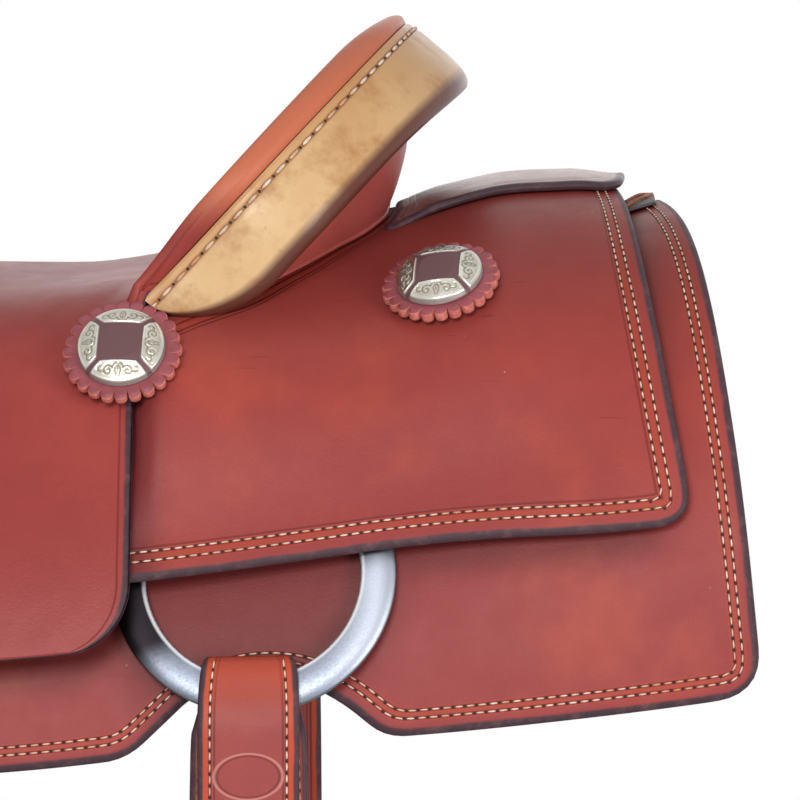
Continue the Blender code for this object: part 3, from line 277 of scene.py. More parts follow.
CHESTNUT = ((144, 58, 56), (156, 65, 59), (174, 77, 58), (134, 52, 52))
SEAT_TONES = ((146, 58, 55), (162, 68, 62), (178, 72, 54), (128, 46, 46))
STRAP_TONES = ((150, 58, 50), (172, 72, 52), (196, 84, 46), (140, 52, 48))
BACK_TONES = ((178, 84, 80), (188, 90, 82), (194, 94, 78), (158, 74, 72))
PLATE_TONES = ((150, 92, 88), (158, 84, 78), (168, 84, 70), (140, 60, 58))
SKIRT_ROWS, JOCKEY_ROWS = (6.9, 10.1), (7.4, 11.2)


def rim_tone_and_highlight(paint, base, edge, height_up):
    """More orange where the seat's leather is stretched over the cantle's rim, and lighter there as a painted
    highlight.
    """
    at_rim = paint.between(height_up, 0.074, 0.10) * paint.between(edge, 52.0, 22.0)
    return paint.mix(at_rim * 0.75, base, srgb(206, 118, 86))


seat_look = {"creases": (5.4,), "dark_edge": 3.6, "gloss": 0.38}
skirt_leather = leather_finish("skirt_leather", CHESTNUT, grooves=SKIRT_ROWS, dark_edge=3.7)
jockey_leather = leather_finish(
    "jockey_leather", CHESTNUT, grooves=JOCKEY_ROWS, creases=(13.0,), dark_edge=3.5
)
seat_leather = leather_finish("seat_leather", SEAT_TONES, touch=rim_tone_and_highlight, **seat_look)
strap_leather = leather_finish("strap_leather", STRAP_TONES, grooves=(4.6,), creases=(3.0,), dark_edge=1.6)
plain_leather = leather_finish("plain_leather", STRAP_TONES, dark_edge=1.6)
swell_leather = leather_finish("swell_leather", SEAT_TONES, **seat_look)
back_leather = leather_finish("cantle_leather", BACK_TONES, dark_edge=0.5, top_shade=0.0)
plate_leather = leather_finish("plate_leather", PLATE_TONES, creases=(6.0, 9.0), dark_edge=4.5, gloss=0.25)
print("leather finishes ready")

# %% [markdown]
# ## The surface that all leather lies on
#
# Skirts, jockeys and straps are cut flat and then bent over the horse's back. One reference surface serves
# them all: x runs along the horse and s is measured over the leather from the spine. A piece then needs only
# its flat outline and its height over that surface, in millimetres, which is how a saddler lays it out.

# %% Reference surface
MM = 0.001
STEPS = np.arange(0.0, 430.0, 0.5)


def smoothstep(low, high, value):
    t = np.clip((value - low) / (high - low), 0.0, 1.0)
    return t * t * (3 - 2 * t)


def slope(s):
    return np.radians(6.0 + 80.0 * (1 - np.exp(-((s / 170.0) ** 2))))


ACROSS = np.concatenate([[0.0], np.cumsum(np.cos(slope(STEPS[:-1] + 0.25)) * 0.5)])
DROP = np.concatenate([[0.0], np.cumsum(np.sin(slope(STEPS[:-1] + 0.25)) * 0.5)])


def ridge(x):
    """Height of the spine line."""
    behind = 33.0 + 56.0 * (np.abs(x + 60.0) / 310.0) ** 1.6
    ahead = 33.0 + 30.0 * (np.abs(x + 60.0) / 340.0) ** 1.6
    return np.where(x > -60.0, behind, ahead)


def place(x, s, lift):
    """Points at (x, s), lifted outwards; negative s is the near side."""
    x, s, lift = np.broadcast_arrays(np.asarray(x, float), s, lift)
    size, side = np.abs(s), np.where(s < 0, -1.0, 1.0)
    angle = slope(size) * smoothstep(0.0, 20.0, size)
    across = np.interp(size, STEPS, ACROSS)
    drop = np.interp(size, STEPS, DROP)
    y = side * (across + lift * np.sin(angle))
    return np.stack([x, y, ridge(x) - drop + lift * np.cos(angle)], axis=-1)


def curve(knots):
    """A smooth function through (x, value) knots, without overshoot between them."""
    xs, ys = np.array(knots, float).T
    rates = np.diff(ys) / np.diff(xs)
    ends = np.zeros(len(xs))
    ends[0], ends[-1] = rates[0], rates[-1]
    for i in range(1, len(xs) - 1):
        if rates[i - 1] * rates[i] > 0:
            ends[i] = 2 * rates[i - 1] * rates[i] / (rates[i - 1] + rates[i])

    def value(x):
        x = np.clip(x, xs[0], xs[-1])
        i = np.clip(np.searchsorted(xs, x, side="right") - 1, 0, len(xs) - 2)
        run = xs[i + 1] - xs[i]
        t = (x - xs[i]) / run
        low = (1 + 2 * t) * (1 - t) ** 2 * ys[i] + t * (1 - t) ** 2 * run * ends[i]
        return low + t * t * (3 - 2 * t) * ys[i + 1] + t * t * (t - 1) * run * ends[i + 1]

    return value


# %% Heights of the layers
SEAT_HEIGHT = curve(
    [(-268, 124), (-235, 104), (-200, 89), (-150, 75), (-100, 66), (-50, 62.6), (0, 62), (28, 65), (45, 69)]
)
JOCKEY_HIGH = curve(
    [(0, 41), (30, 39), (90, 31.5), (136, 26.5), (175, 26.5), (215, 19.5), (238, 11.5), (262, 9)]
)
JOCKEY_LOW = curve([(10, 19), (80, 15.5), (140, 13), (200, 11), (262, 9)])
LEATHER = 4.5


def seat_lift(x, s):
    s = np.abs(s)
    centre = SEAT_HEIGHT(x) - ridge(x) - 24.5
    bulge = 8 + 7 * smoothstep(-90, 25, x)
    width = np.where(s < 110, 45.0, 42.0)
    leathers = 5 * np.exp(-(((x + 125.0) / 65) ** 2)) * smoothstep(120, 160, s)
    rise = 24.5 + centre * np.exp(-((s / 75) ** 2)) + bulge * np.exp(-(((s - 110) / width) ** 2))
    return rise + leathers * (1 - 0.5 * smoothstep(215, 242, s))


def under_seat(x, s):
    return seat_lift(x, s) - LEATHER - 1.4


def jockey_lift(x, s):
    blend = smoothstep(130, 205, np.abs(s))
    free = JOCKEY_HIGH(x) * (1 - blend) + JOCKEY_LOW(x) * blend
    covered = smoothstep(36.0, 30.0, x)
    return free + covered * np.minimum(under_seat(x, s) - free, 0.0)


def front_jockey_lift(x, s):
    blend = smoothstep(135, 205, np.abs(s))
    free = 30.5 * (1 - blend) + 16.5 * blend
    covered = smoothstep(-265.0, -259.0, x)
    return free + covered * np.minimum(under_seat(x, s) - free, 0.0)


print("seat height over the spine:", round(float(SEAT_HEIGHT(0.0)), 1), "mm")

# %% [markdown]
# ## A sheet of leather
#
# A sheet starts as a flat outline with rounded corners. Rings drawn just inside the outline carry the edge's
# rounding and keep the distance to the edge exact where the stitches run. A grid fills the rest. The flat
# mesh is then lifted twice, as outer and inner face, and both meet in the middle of the edge.


# %% Outlines
def rounded(corners, spacing=4.0):
    """A closed outline of (x, s, setback) corners, each corner a soft bend, with even spacing."""
    points = []
    count = len(corners)
    for i, (x, s, setback) in enumerate(corners):
        here = np.array((x, s), float)
        before = np.array(corners[i - 1][:2], float) - here
        after = np.array(corners[(i + 1) % count][:2], float) - here
        reach = min(setback, 0.49 * np.linalg.norm(before), 0.49 * np.linalg.norm(after))
        start = here + before / np.linalg.norm(before) * reach
        end = here + after / np.linalg.norm(after) * reach
        for t in np.linspace(0, 1, 9 if setback else 1):
            points.append((1 - t) ** 2 * start + 2 * t * (1 - t) * here + t * t * end)
    return evenly(np.array(points), spacing, closed=True)


def evenly(points, spacing, closed=False):
    """The same line with points at an even spacing."""
    line = np.vstack([points, points[:1]]) if closed else np.asarray(points, float)
    steps = np.linalg.norm(np.diff(line, axis=0), axis=1)
    keep = np.concatenate([[True], steps > 1e-6])
    line = line[keep]
    along = np.concatenate([[0.0], np.cumsum(np.linalg.norm(np.diff(line, axis=0), axis=1))])
    count = max(int(along[-1] / spacing), 3)
    at = np.linspace(0, along[-1], count + 1)
    made = np.stack([np.interp(at, along, line[:, k]) for k in range(line.shape[1])], axis=1)
    return made[:-1] if closed else made


def inset(outline, amount):
    """The outline drawn in by a fixed amount; where a tight corner would fold over, its points meet."""
    x, s = outline.T
    area = np.sum(x * np.roll(s, -1) - s * np.roll(x, -1))
    ahead = np.roll(outline, -1, axis=0) - np.roll(outline, 1, axis=0)
    ahead /= np.linalg.norm(ahead, axis=1)[:, None]
    line = outline + np.stack([-ahead[:, 1], ahead[:, 0]], axis=1) * np.sign(area) * amount
    if amount < 3:
        return line
    folded = edge_distance(line, outline) < amount - 0.12
    count = len(line)
    for i in range(count):
        if folded[i] and not folded[i - 1]:
            run = [i]
            while folded[(run[-1] + 1) % count]:
                run.append((run[-1] + 1) % count)
            line[run] = (line[i - 1] + line[(run[-1] + 1) % count]) / 2
    return line


def edge_distance(points, outline):
    """Distance of each flat point from a closed outline."""
    first, second = outline, np.roll(outline, -1, axis=0)
    run = second - first
    length = np.maximum(np.sum(run * run, axis=1), 1e-9)
    best = np.full(len(points), 1e9)
    for block in range(0, len(points), 2000):
        part = points[block : block + 2000]
        away = part[:, None, :] - first[None]
        t = np.clip(np.sum(away * run[None], axis=2) / length[None], 0, 1)
        gap = away - t[..., None] * run[None]
        best[block : block + 2000] = np.sqrt(np.min(np.sum(gap * gap, axis=2), axis=1))
    return best


# %% Meshes with an edge attribute
def piece(name, points, faces, finishes, slots=None, **attributes):
    """A mesh object from points in millimetres; attributes are numbers per point, in millimetres too."""
    mesh = bpy.data.meshes.new(name)
    mesh.from_pydata((np.asarray(points, float).reshape(-1, 3) * MM).tolist(), [], faces)
    for key, values in attributes.items():
        layer = mesh.attributes.new(key, "FLOAT", "POINT")
        layer.data.foreach_set("value", np.ravel(np.asarray(values, float)) * MM)
    for one in finishes if isinstance(finishes, (list, tuple)) else [finishes]:
        mesh.materials.append(one)
    if slots:
        mesh.polygons.foreach_set("material_index", slots)
    mesh.shade_smooth()
    bm = bmesh.new()
    bm.from_mesh(mesh)
    bmesh.ops.remove_doubles(bm, verts=bm.verts, dist=2e-6)
    bmesh.ops.recalc_face_normals(bm, faces=bm.faces)
    bm.to_mesh(mesh)
    bm.free()
    thing = bpy.data.objects.new(name, mesh)
    bpy.context.scene.collection.objects.link(thing)
    return thing


def edge_round(distance, thick, radius=None):
    """How far each face draws back towards the middle near the edge."""
    radius = radius or thick / 2
    t = np.clip(1 - distance / radius, 0, 1)
    return radius * (1 - np.sqrt(1 - t * t))


RINGS = (0.0, 0.25, 0.9, 1.8, 2.9, 4.4, 6.2, 7.8, 9.6, 11.6, 14.0)


def flat_mesh(outline, rings, grid):
    """Flat points and faces: rings inside the outline, then a grid."""
    bm = bmesh.new()
    loops = []
    for amount in rings:
        loops.append([bm.verts.new((x, s, 0)) for x, s in inset(outline, amount)])
    count = len(outline)
    for outer, inner in zip(loops, loops[1:]):
        for i in range(count):
            j = (i + 1) % count
            bm.faces.new([outer[i], outer[j], inner[j], inner[i]])
    inside = [bm.faces.new(loops[-1])]
    low, high = inset(outline, rings[-1]).min(axis=0), inset(outline, rings[-1]).max(axis=0)
    for axis in (0, 1):
        for line in np.arange(math.ceil(low[axis] / grid), high[axis] / grid):
            point, normal = [0, 0, 0], [0, 0, 0]
            point[axis], normal[axis] = line * grid, 1
            geometry = list(inside) + list({e for f in inside for e in f.edges})
            geometry += list({v for f in inside for v in f.verts})
            cut = bmesh.ops.bisect_plane(bm, geom=geometry, dist=0.01, plane_co=point, plane_no=normal)
            inside = list({g for g in cut["geom"] if isinstance(g, bmesh.types.BMFace)})
    bm.verts.index_update()
    points = np.array([v.co[:2] for v in bm.verts])
    faces = [[v.index for v in f.verts] for f in bm.faces]
    bm.free()
    return points, faces


def two_faced(name, outer, inner, faces, finish, gap, shade=None):
    """A sheet from its outer and inner face, which meet in the middle of the edge."""
    count = len(outer)
    every = faces + [[i + count for i in reversed(face)] for face in faces]
    more = {} if shade is None else {"shade": np.tile(shade, 2)}
    return piece(name, np.vstack([outer, inner]), every, finish, edge=np.concatenate([gap, gap]), **more)


def painted_shade(points, cover, ring_at=None):
    """Painted shade: 1 close under a covering sheet's edge, 0 well away from it; with ring_at, also inside
    the ring.
    """
    shade = smoothstep(19.0, 1.0, edge_distance(points, cover))
    if ring_at is not None:
        away = np.linalg.norm(points - np.array(ring_at), axis=1)
        shade = np.maximum(shade * smoothstep(262.0, 236.0, points[:, 0]), 0.8 * smoothstep(82.0, 50.0, away))
    return shade


def sheet(name, corners, lift, thick, side, finish, at=place, rings=RINGS, grid=9.0, spacing=4.0, shade=None):
    """A draped sheet whose outer face lies at lift(x, s); shade(points) says where painted shade darkens it.
    """
    outline = rounded(corners, spacing)
    points, faces = flat_mesh(outline, rings, grid)
    gap = edge_distance(points, outline)
    x, s = points.T
    top, draw = lift(x, s), edge_round(gap, thick)
    outer, inner = at(x, side * s, top - draw), at(x, side * s, top - thick + draw)
    return two_faced(name, outer, inner, faces, finish, gap, shade(points) if shade else None), outline


def dress(thing, body, *stands_for, slot="leather"):
    """Hand a finished piece to the frame."""
    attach(thing, body)
    if stands_for:
        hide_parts(*stands_for)
    print(thing.name, len(thing.data.polygons), "faces")
    return thing


# %% [markdown]
# ## Stitches
#
# Two rows of waxed linen thread run round every skirt and jockey. A stitch is the same small thing hundreds
# of times along a line, which is what Geometry Nodes do best: the line is sampled at the stitch's length,
# and a thread and a dark awl hole are set at each point, turned along the line and out of the leather.


# %% Thread and hole finishes
def thread_finish():
    paint = Paint("thread")
    tint = paint.noise(140.0, 3.0, 0.6)
    place_tint = paint.noise(14.0, 2.0)
    colour = paint.mix(paint.between(tint, 0.35, 0.7), srgb(222, 208, 190), srgb(190, 154, 124))
    colour = paint.mix(paint.between(place_tint, 0.50, 0.68) * 0.75, colour, srgb(188, 120, 84))
    twist = paint.noise(900.0, 2.0)
    return paint.finish(colour, 0.7, paint.bump(twist, 0.0002, 0.5))


# Painted shade: the sunk awl holes are near black, for the shade inside each hole.
def hole_finish():
    paint = Paint("awl_hole")
    return paint.finish(paint.mix(paint.noise(400.0), srgb(24, 14, 14), srgb(40, 22, 20)), 0.8)


thread = thread_finish()
hole = hole_finish()


# %% Stitch tree
STITCH_SIZES = (
    ("Pitch", 0.0048), ("Thread Length", 0.0036), ("Thread Width", 0.00085), ("Hole Width", 0.0014),
)
HOLE_DEPTH = 0.0004


def stitch_tree():
    tree = bpy.data.node_groups.new("stitching", "GeometryNodeTree")
    face = tree.interface
    face.new_socket("Line", in_out="INPUT", socket_type="NodeSocketGeometry")
    for label, value in STITCH_SIZES:
        face.new_socket(label, in_out="INPUT", socket_type="NodeSocketFloat").default_value = value
    face.new_socket("Stitches", in_out="OUTPUT", socket_type="NodeSocketGeometry")

    def node(kind, settings=None, **sockets):
        return add_node(tree, kind, settings, **sockets)

    given = node("NodeGroupInput")
    pitch = given.outputs["Pitch"]
    line = node("GeometryNodeMeshToCurve", Mesh=given.outputs["Line"])
    spaced = node("GeometryNodeResampleCurve", {"mode": "LENGTH"}, Curve=line.outputs[0], Length=pitch)
    tangent = node("GeometryNodeInputTangent").outputs[0]
    up = node("GeometryNodeInputNamedAttribute", {"data_type": "FLOAT_VECTOR"}, Name="up").outputs[0]
    turn = node("FunctionNodeAxesToRotation", {"primary_axis": "X", "secondary_axis": "Z"})
    tree.links.new(tangent, turn.inputs[0])
    tree.links.new(up, turn.inputs[1])

    def rows(shift, length, width, height, material, segments):
        ball = node("GeometryNodeMeshUVSphere", Segments=segments, Rings=5, Radius=0.5)
        size = node("ShaderNodeCombineXYZ", X=length, Y=width, Z=height)
        shaped = node("GeometryNodeTransform", Geometry=ball.outputs[0], Scale=size.outputs[0])
        smooth = node("GeometryNodeSetShadeSmooth", Geometry=shaped.outputs[0])
        moved = spaced.outputs[0]
        if shift:
            half = node("ShaderNodeMath", {"operation": "MULTIPLY"})
            tree.links.new(pitch, half.inputs[0])
            half.inputs[1].default_value = 0.5
            away = node("ShaderNodeVectorMath", {"operation": "SCALE"}, Scale=half.outputs[0])
            tree.links.new(tangent, away.inputs[0])
            moved = node("GeometryNodeSetPosition", Geometry=moved, Offset=away.outputs[0]).outputs[0]
        spin = turn.outputs[0]
        many = node("GeometryNodeInstanceOnPoints", Points=moved, Instance=smooth.outputs[0], Rotation=spin)
        real = node("GeometryNodeRealizeInstances", Geometry=many.outputs[0])
        return node("GeometryNodeSetMaterial", Geometry=real.outputs[0], Material=material).outputs[0]

    width = given.outputs["Thread Width"]
    threads = rows(False, given.outputs["Thread Length"], width, width, thread, 8)
    hole_width = given.outputs["Hole Width"]
    holes = rows(True, hole_width, hole_width, HOLE_DEPTH, hole, 6)
    both = node("GeometryNodeJoinGeometry")
    tree.links.new(threads, both.inputs[0])
    tree.links.new(holes, both.inputs[0])
    out = node("NodeGroupOutput")
    tree.links.new(both.outputs[0], out.inputs[0])
    return tree


STITCHING = stitch_tree()


# %% Lay stitches along lines
def along_nodes(name, tree, rows, settings=None):
    """Run a node tree along lines of (points, ups) in millimetres, and keep the result as a plain mesh."""
    points, edges, ups = [], [], []
    for line, up in rows:
        start = len(points)
        points += (np.asarray(line) * MM).tolist()
        ups += np.asarray(up).tolist()
        edges += [(start + i, start + i + 1) for i in range(len(line) - 1)]
    mesh = bpy.data.meshes.new(name + "_line")
    mesh.from_pydata(points, edges, [])
    layer = mesh.attributes.new("up", "FLOAT_VECTOR", "POINT")
    layer.data.foreach_set("vector", np.array(ups, float).ravel())
    guide = bpy.data.objects.new(name + "_line", mesh)
    bpy.context.scene.collection.objects.link(guide)
    grow = guide.modifiers.new("grow", "NODES")
    grow.node_group = tree
    names = {s.name: s.identifier for s in tree.interface.items_tree if s.in_out == "INPUT"}
    for label, value in (settings or {}).items():
        grow[names[label]] = value
    bpy.context.view_layer.update()
    depsgraph = bpy.context.evaluated_depsgraph_get()
    made = bpy.data.meshes.new_from_object(guide.evaluated_get(depsgraph))
    bpy.data.objects.remove(guide)
    thing = bpy.data.objects.new(name, made)
    bpy.context.scene.collection.objects.link(thing)
    return thing


def surface_row(flat, lift, side, at=place, above=0.15):
    """A line drawn on a sheet, with the way out of the leather at each point."""
    x, s = np.asarray(flat, float).T
    points = at(x, side * s, lift(x, s) + above)
    ahead = at(x + 1.0, side * s, lift(x + 1.0, s)) - at(x - 1.0, side * s, lift(x - 1.0, s))
    down = at(x, side * (s + 1.0), lift(x, s + 1.0)) - at(x, side * (s - 1.0), lift(x, s - 1.0))
    up = np.cross(ahead, down)
    up /= np.linalg.norm(up, axis=1)[:, None]
    outer = at(x, side * s, lift(x, s) + 3.0) - points
    up *= np.sign(np.sum(up * outer, axis=1))[:, None]
    return points, up


def stitches(name, rows, body, settings=None):
    """Lay a stitched row along each line and hand it to the frame."""
    dress(along_nodes(name, STITCHING, rows, settings), body)


def part_of(outline, amount, inside):
    """The longest run of an inset outline for which inside(x, s) holds."""
    line = inset(outline, amount)
    keep = np.array([bool(inside(x, s)) for x, s in line])
    if keep.all():
        return np.vstack([line, line[:1]])
    start = next(i for i in range(len(line)) if keep[i] and not keep[i - 1])
    line, keep = np.roll(line, -start, axis=0), np.roll(keep, -start)
    runs, best = [], []
    for point, ok in zip(line, keep):
        if ok:
            runs.append(point)
        else:
            best = runs if len(runs) > len(best) else best
            runs = []
    best = runs if len(runs) > len(best) else best
    return evenly(np.array(best), 1.5)


# %% [markdown]
# ## Skirts and jockeys
#
# The skirts are the broad sheets that carry the saddle on the horse, with a notch cut out above the rear
# cinch ring. The jockeys lie over them behind the seat. Both have a double row of stitches along the edge.

# %% Skirts
SKIRT = [
    (256, 4, 0), (267.5, 104, 60), (274.5, 168, 30), (282.5, 238, 30), (289.5, 318, 20),
    (206, 305, 20), (134, 294.5, 9), (117, 277, 8), (99, 263.5, 22), (78, 258, 24), (55, 261.5, 18),
    (43, 271.5, 8), (27, 284.5, 9), (-120, 284, 0), (-300, 284, 60), (-402, 285, 46), (-420, 200, 40),
    (-421, 130, 30), (-414, 82, 20), (-300, 66, 30), (-230, 52, 30), (-180, 42, 30), (100, 42, 30),
    (150, 34, 20), (186, 4, 10),
]
WORDS = ((-1.0, "left"), (1.0, "right"))
SKIRT_THICK = 6.0


BACK_JOCKEY = [
    (235, 2, 0), (241.5, 105, 40), (251, 176, 40), (261.5, 240, 17), (222, 233.5, 30), (181, 224.5, 40),
    (140, 219, 40), (78, 216, 40), (4, 215, 5), (6, 136, 5), (30, 118, 8), (50, 108, 8), (74, 99, 6),
    (97, 80, 6), (120, 52, 6), (128, 30, 8), (130, 2, 0),
]
FLAP_EDGE = [
    (29, 60, 0), (29, 218, 0), (26, 230, 0), (21, 236, 0), (5, 242, 0), (-165, 242, 0), (-165, 60, 0),
]
RING_CENTRE = (79.4, 217.0)


def skirt_lift(x, _):
    return np.zeros(np.shape(x))


def skirt_shade(points):
    jockey = painted_shade(points, rounded(BACK_JOCKEY), RING_CENTRE)
    return np.maximum(jockey, painted_shade(points, rounded(FLAP_EDGE)))


def jockey_shade(points):
    return painted_shade(points, rounded(FLAP_EDGE))


def sewn_sheet(kind, corners, lift, thick, finish, amounts, shown, **options):
    """A draped sheet on each side of the saddle, with rows of stitches where shown(x, s) holds."""
    for side, word in WORDS:
        name = kind + "_" + word
        made, outline = sheet("leather_" + name, corners, lift, thick, side, finish, **options)
        dress(made, "saddle", name)
        rows = [surface_row(part_of(outline, amount, shown), lift, side) for amount in amounts]
        stitches(kind.replace("back_", "") + "_stitches_" + word, rows, "saddle")


sewn_sheet(
    "skirt", SKIRT, skirt_lift, SKIRT_THICK, skirt_leather, SKIRT_ROWS, lambda x, s: s > 62 or x > 225,
    grid=6.0, shade=skirt_shade,
)

# %% Back jockeys
sewn_sheet(
    "back_jockey", BACK_JOCKEY, jockey_lift, LEATHER, jockey_leather, JOCKEY_ROWS,
    lambda x, s: (s > 195 and x > 12) or x > 215, grid=6.0, shade=jockey_shade,
)

# %% Front jockeys
FRONT_JOCKEY = [
    (-417, 84, 6), (-422, 130, 20), (-414, 176, 20), (-392, 198, 20), (-300, 201, 20), (-228, 201, 8),
    (-228, 176, 10), (-252, 158, 12), (-272, 148, 12), (-330, 146, 12), (-384, 141, 10), (-391, 130, 8),
    (-391, 84, 4),
]
sewn_sheet(
    "front_jockey", FRONT_JOCKEY, front_jockey_lift, LEATHER, jockey_leather, JOCKEY_ROWS,
    lambda x, s: x < -398 or s > 176, rings=RINGS[:8],
)

# %% [markdown]
# ## Seat
#
# The seat is one hide. It lies over the tree from the fork, dips where the rider sits and climbs the cantle
# up to the rim, and on each side it hangs down as a flap over the stirrup leather. Its shape is a grid of
# lines from the fork to the rim, the same rule that the solid model uses, with many more points.

# %% The rim and the dish
RIM_LOW, RIM_TOP = (31.7, 146.0, 49.0), (142.0, 168.0)
RIM_POWER = 2 / 2.3
ROLL = Vector((26.0, 0.0, -22.5)).normalized()
FLAP_FRONT = curve([(0, -268), (90, -268), (140, -262), (165, -250), (200, -222), (225, -196), (242, -165)])
RIM_LINE = 118.0
RIM_LIP = 4.5


def rim(share):
    """The cantle's rim: 0 at the top, 1 at its low end, negative on the near side."""
    side = -1.0 if share < 0 else 1.0
    a = math.pi / 2 * min(abs(share), 1.0)
    run, rise = RIM_TOP[0] - RIM_LOW[0], RIM_TOP[1] - RIM_LOW[2]
    curl = 1 - 0.09 * float(smoothstep(0.72, 1.0, abs(share)))
    along = math.hypot(run, rise) * max(math.cos(a), 0.0) ** RIM_POWER
    tilt = math.atan2(rise, run)
    across = side * RIM_LOW[1] * math.sin(a) ** RIM_POWER * curl
    return Vector((RIM_LOW[0] + along * math.cos(tilt), across, RIM_LOW[2] + along * math.sin(tilt)))


def rim_normal(share):
    """The way out of the rim, square to it and to the roll."""
    ahead = rim(min(share + 0.01, 0.999)) - rim(max(share - 0.01, -0.999))
    normal = ahead.cross(ROLL).normalized()
    return normal if normal.dot(Vector((0, rim(share).y, 60))) > 0 else -normal


def bend(p0, t0, p1, t1, t):
    """A smooth bend from p0 to p1 that starts along t0 and ends along t1."""
    low = p0 * ((1 + 2 * t) * (1 - t) ** 2) + t0 * (t * (1 - t) ** 2)
    return low + p1 * (t * t * (3 - 2 * t)) + t1 * (t * t * (t - 1))


def spot(x, s, lift):
    return Vector(place(x, s, lift))


def flap_rear(s):
    """The flap's rear edge, rounded at its lower corner."""
    into = max(s - 218.0, 0.0)
    return 5.0 + math.sqrt(max(24.0**2 - into**2, 0.0))


def seat_spot(s, along):
    """A point of the seat's outer face: along is 0 to 1 up to the dish, to 2 up it, to 3 over the rim."""
    size, way = abs(s), math.copysign(1.0, s)
    near_rim = min(size / RIM_LINE, 1.0)
    dish_x = 4 + 36 * (1 - near_rim**2)
    if size > RIM_LINE:
        dish_x = flap_rear(size) - 25.0
    if along <= 1:
        front = float(FLAP_FRONT(size))
        x = front + (dish_x - front) * along
        return spot(x, s, seat_lift(x, size))
    if size > RIM_LINE:
        x = dish_x + 25.0 * (min(along, 3.0) - 1) / 2
        return spot(x, s, seat_lift(x, size))
    start = spot(dish_x, s, seat_lift(dish_x, size))
    behind = spot(dish_x - 2, s, seat_lift(dish_x - 2, size))
    share = near_rim**0.9 * way
    end = rim(share) + rim_normal(share) * 1.0 - ROLL * (2.4 + 1.8 * near_rim)
    inwards = Vector((-0.62, -way * near_rim * 0.75, -0.5)).normalized()
    knee = end + inwards * (18 - 13 * near_rim**2) + Vector((0, 0, -1.5))
    reach = (knee - start).length
    rise = Vector((0.55 - 0.35 * near_rim, 0.6 * way * near_rim, 0.84 - 0.25 * near_rim)).normalized()
    lip = ROLL * rim_lip(near_rim, along)
    if along <= 2:
        ahead = (start - behind).normalized() * reach * 0.95
        return bend(start, ahead, knee, rise * reach * 0.9, along - 1) - lip
    over = Vector((0.9, 0.15 * way * near_rim, -0.35)) * (end - knee).length
    if along <= 3:
        return bend(knee, rise * (end - knee).length, end, over, along - 2) - lip
    tucked = rim(share) + ROLL * 2.2 - rim_normal(share) * 0.5
    return end + (tucked - end) * (along - 3)


def rim_lip(near_rim, along):
    """The soft ridge that the leather makes where it rolls over the rim."""
    height = RIM_LIP * (0.2 + 0.8 * smoothstep(0.0, 0.35, near_rim))
    height = height * (1 - 0.6 * smoothstep(0.82, 1.0, near_rim))
    return float(height * smoothstep(1.55, 2.4, along) * (1 - smoothstep(2.55, 3.0, along)))


# %% Shell from a grid
def grid_faces(rows, columns, close=False):
    """Faces over a grid of points, numbered row by row; close joins the last column to the first."""
    faces = []
    for i in range(rows - 1):
        for j in range(columns if close else columns - 1):
            k = (j + 1) % columns
            faces.append([i * columns + j, i * columns + k, (i + 1) * columns + k, (i + 1) * columns + j])
    return faces


def shell(name, grid, thick, finish, edge):
    """A leather shell from a grid of outer points, its edges rounded by their distance to the border."""
    rows, columns = grid.shape[:2]
    normal = np.cross(np.gradient(grid, axis=0), np.gradient(grid, axis=1))
    normal /= np.maximum(np.linalg.norm(normal, axis=2), 1e-9)[..., None]
    if normal[rows // 3, columns // 2, 2] < 0:
        normal = -normal
    draw = edge_round(edge[0], thick)[..., None]
    outer = (grid - normal * draw).reshape(-1, 3)
    inner = (grid - normal * (thick - draw)).reshape(-1, 3)
    return two_faced(name, outer, inner, grid_faces(rows, columns), finish, edge[1].ravel())


def border_distance(grid):
    """Distance from the grid's border, measured along the grid's own lines."""
    steps = np.linalg.norm(np.diff(grid, axis=0), axis=2)
    down = np.vstack([np.zeros(grid.shape[1]), np.cumsum(steps, axis=0)])
    steps = np.linalg.norm(np.diff(grid, axis=1), axis=2)
    over = np.hstack([np.zeros((grid.shape[0], 1)), np.cumsum(steps, axis=1)])
    return np.minimum.reduce([down, down[-1] - down, over, over[:, -1:] - over])


# %% The seat's leather
FLAP_END_COLUMNS = [231, 233.5, 235.5, 237, 238.4, 239.6, 240.6, 241.3, 241.8, 242]
FRONT_STEPS, TUCKED_STEPS = [0, 0.001, 0.003, 0.007, 0.013, 0.02, 0.03], [3.3, 3.7, 4.0]
half_columns = np.concatenate(
    [np.linspace(0, 108, 30), np.linspace(112, 124, 6), np.linspace(129, 228, 24), FLAP_END_COLUMNS]
)
columns = np.concatenate([-half_columns[:0:-1], half_columns])
dish_steps, roll_steps = np.linspace(1.04, 2, 24)[:-1], np.linspace(2, 3, 20)
alongs = np.concatenate([FRONT_STEPS, np.linspace(0.05, 1, 34), dish_steps, roll_steps, TUCKED_STEPS])
grid = np.array([[seat_spot(float(s), float(a)) for s in columns] for a in alongs])
rim_end = border_distance(grid)
flap_only = np.abs(columns)[None, :] > RIM_LINE - 2
burnished = np.where(flap_only | (alongs[:, None] < 1.2), rim_end, np.maximum(rim_end, 6.5))
dress(shell("leather_seat", grid, LEATHER, seat_leather, (rim_end, burnished)), "saddle", "seat")

# %% [markdown]
# ## Cantle
#
# The back of the cantle is a leather facing, and its rim carries a broad flat roll. Wet rawhide is laced
# round the roll and dries hard, like horn: translucent, tan and mottled, with a sunk seam where the lace
# pulls it down.


# %% Rawhide finish
SEAM_AT = 5.6


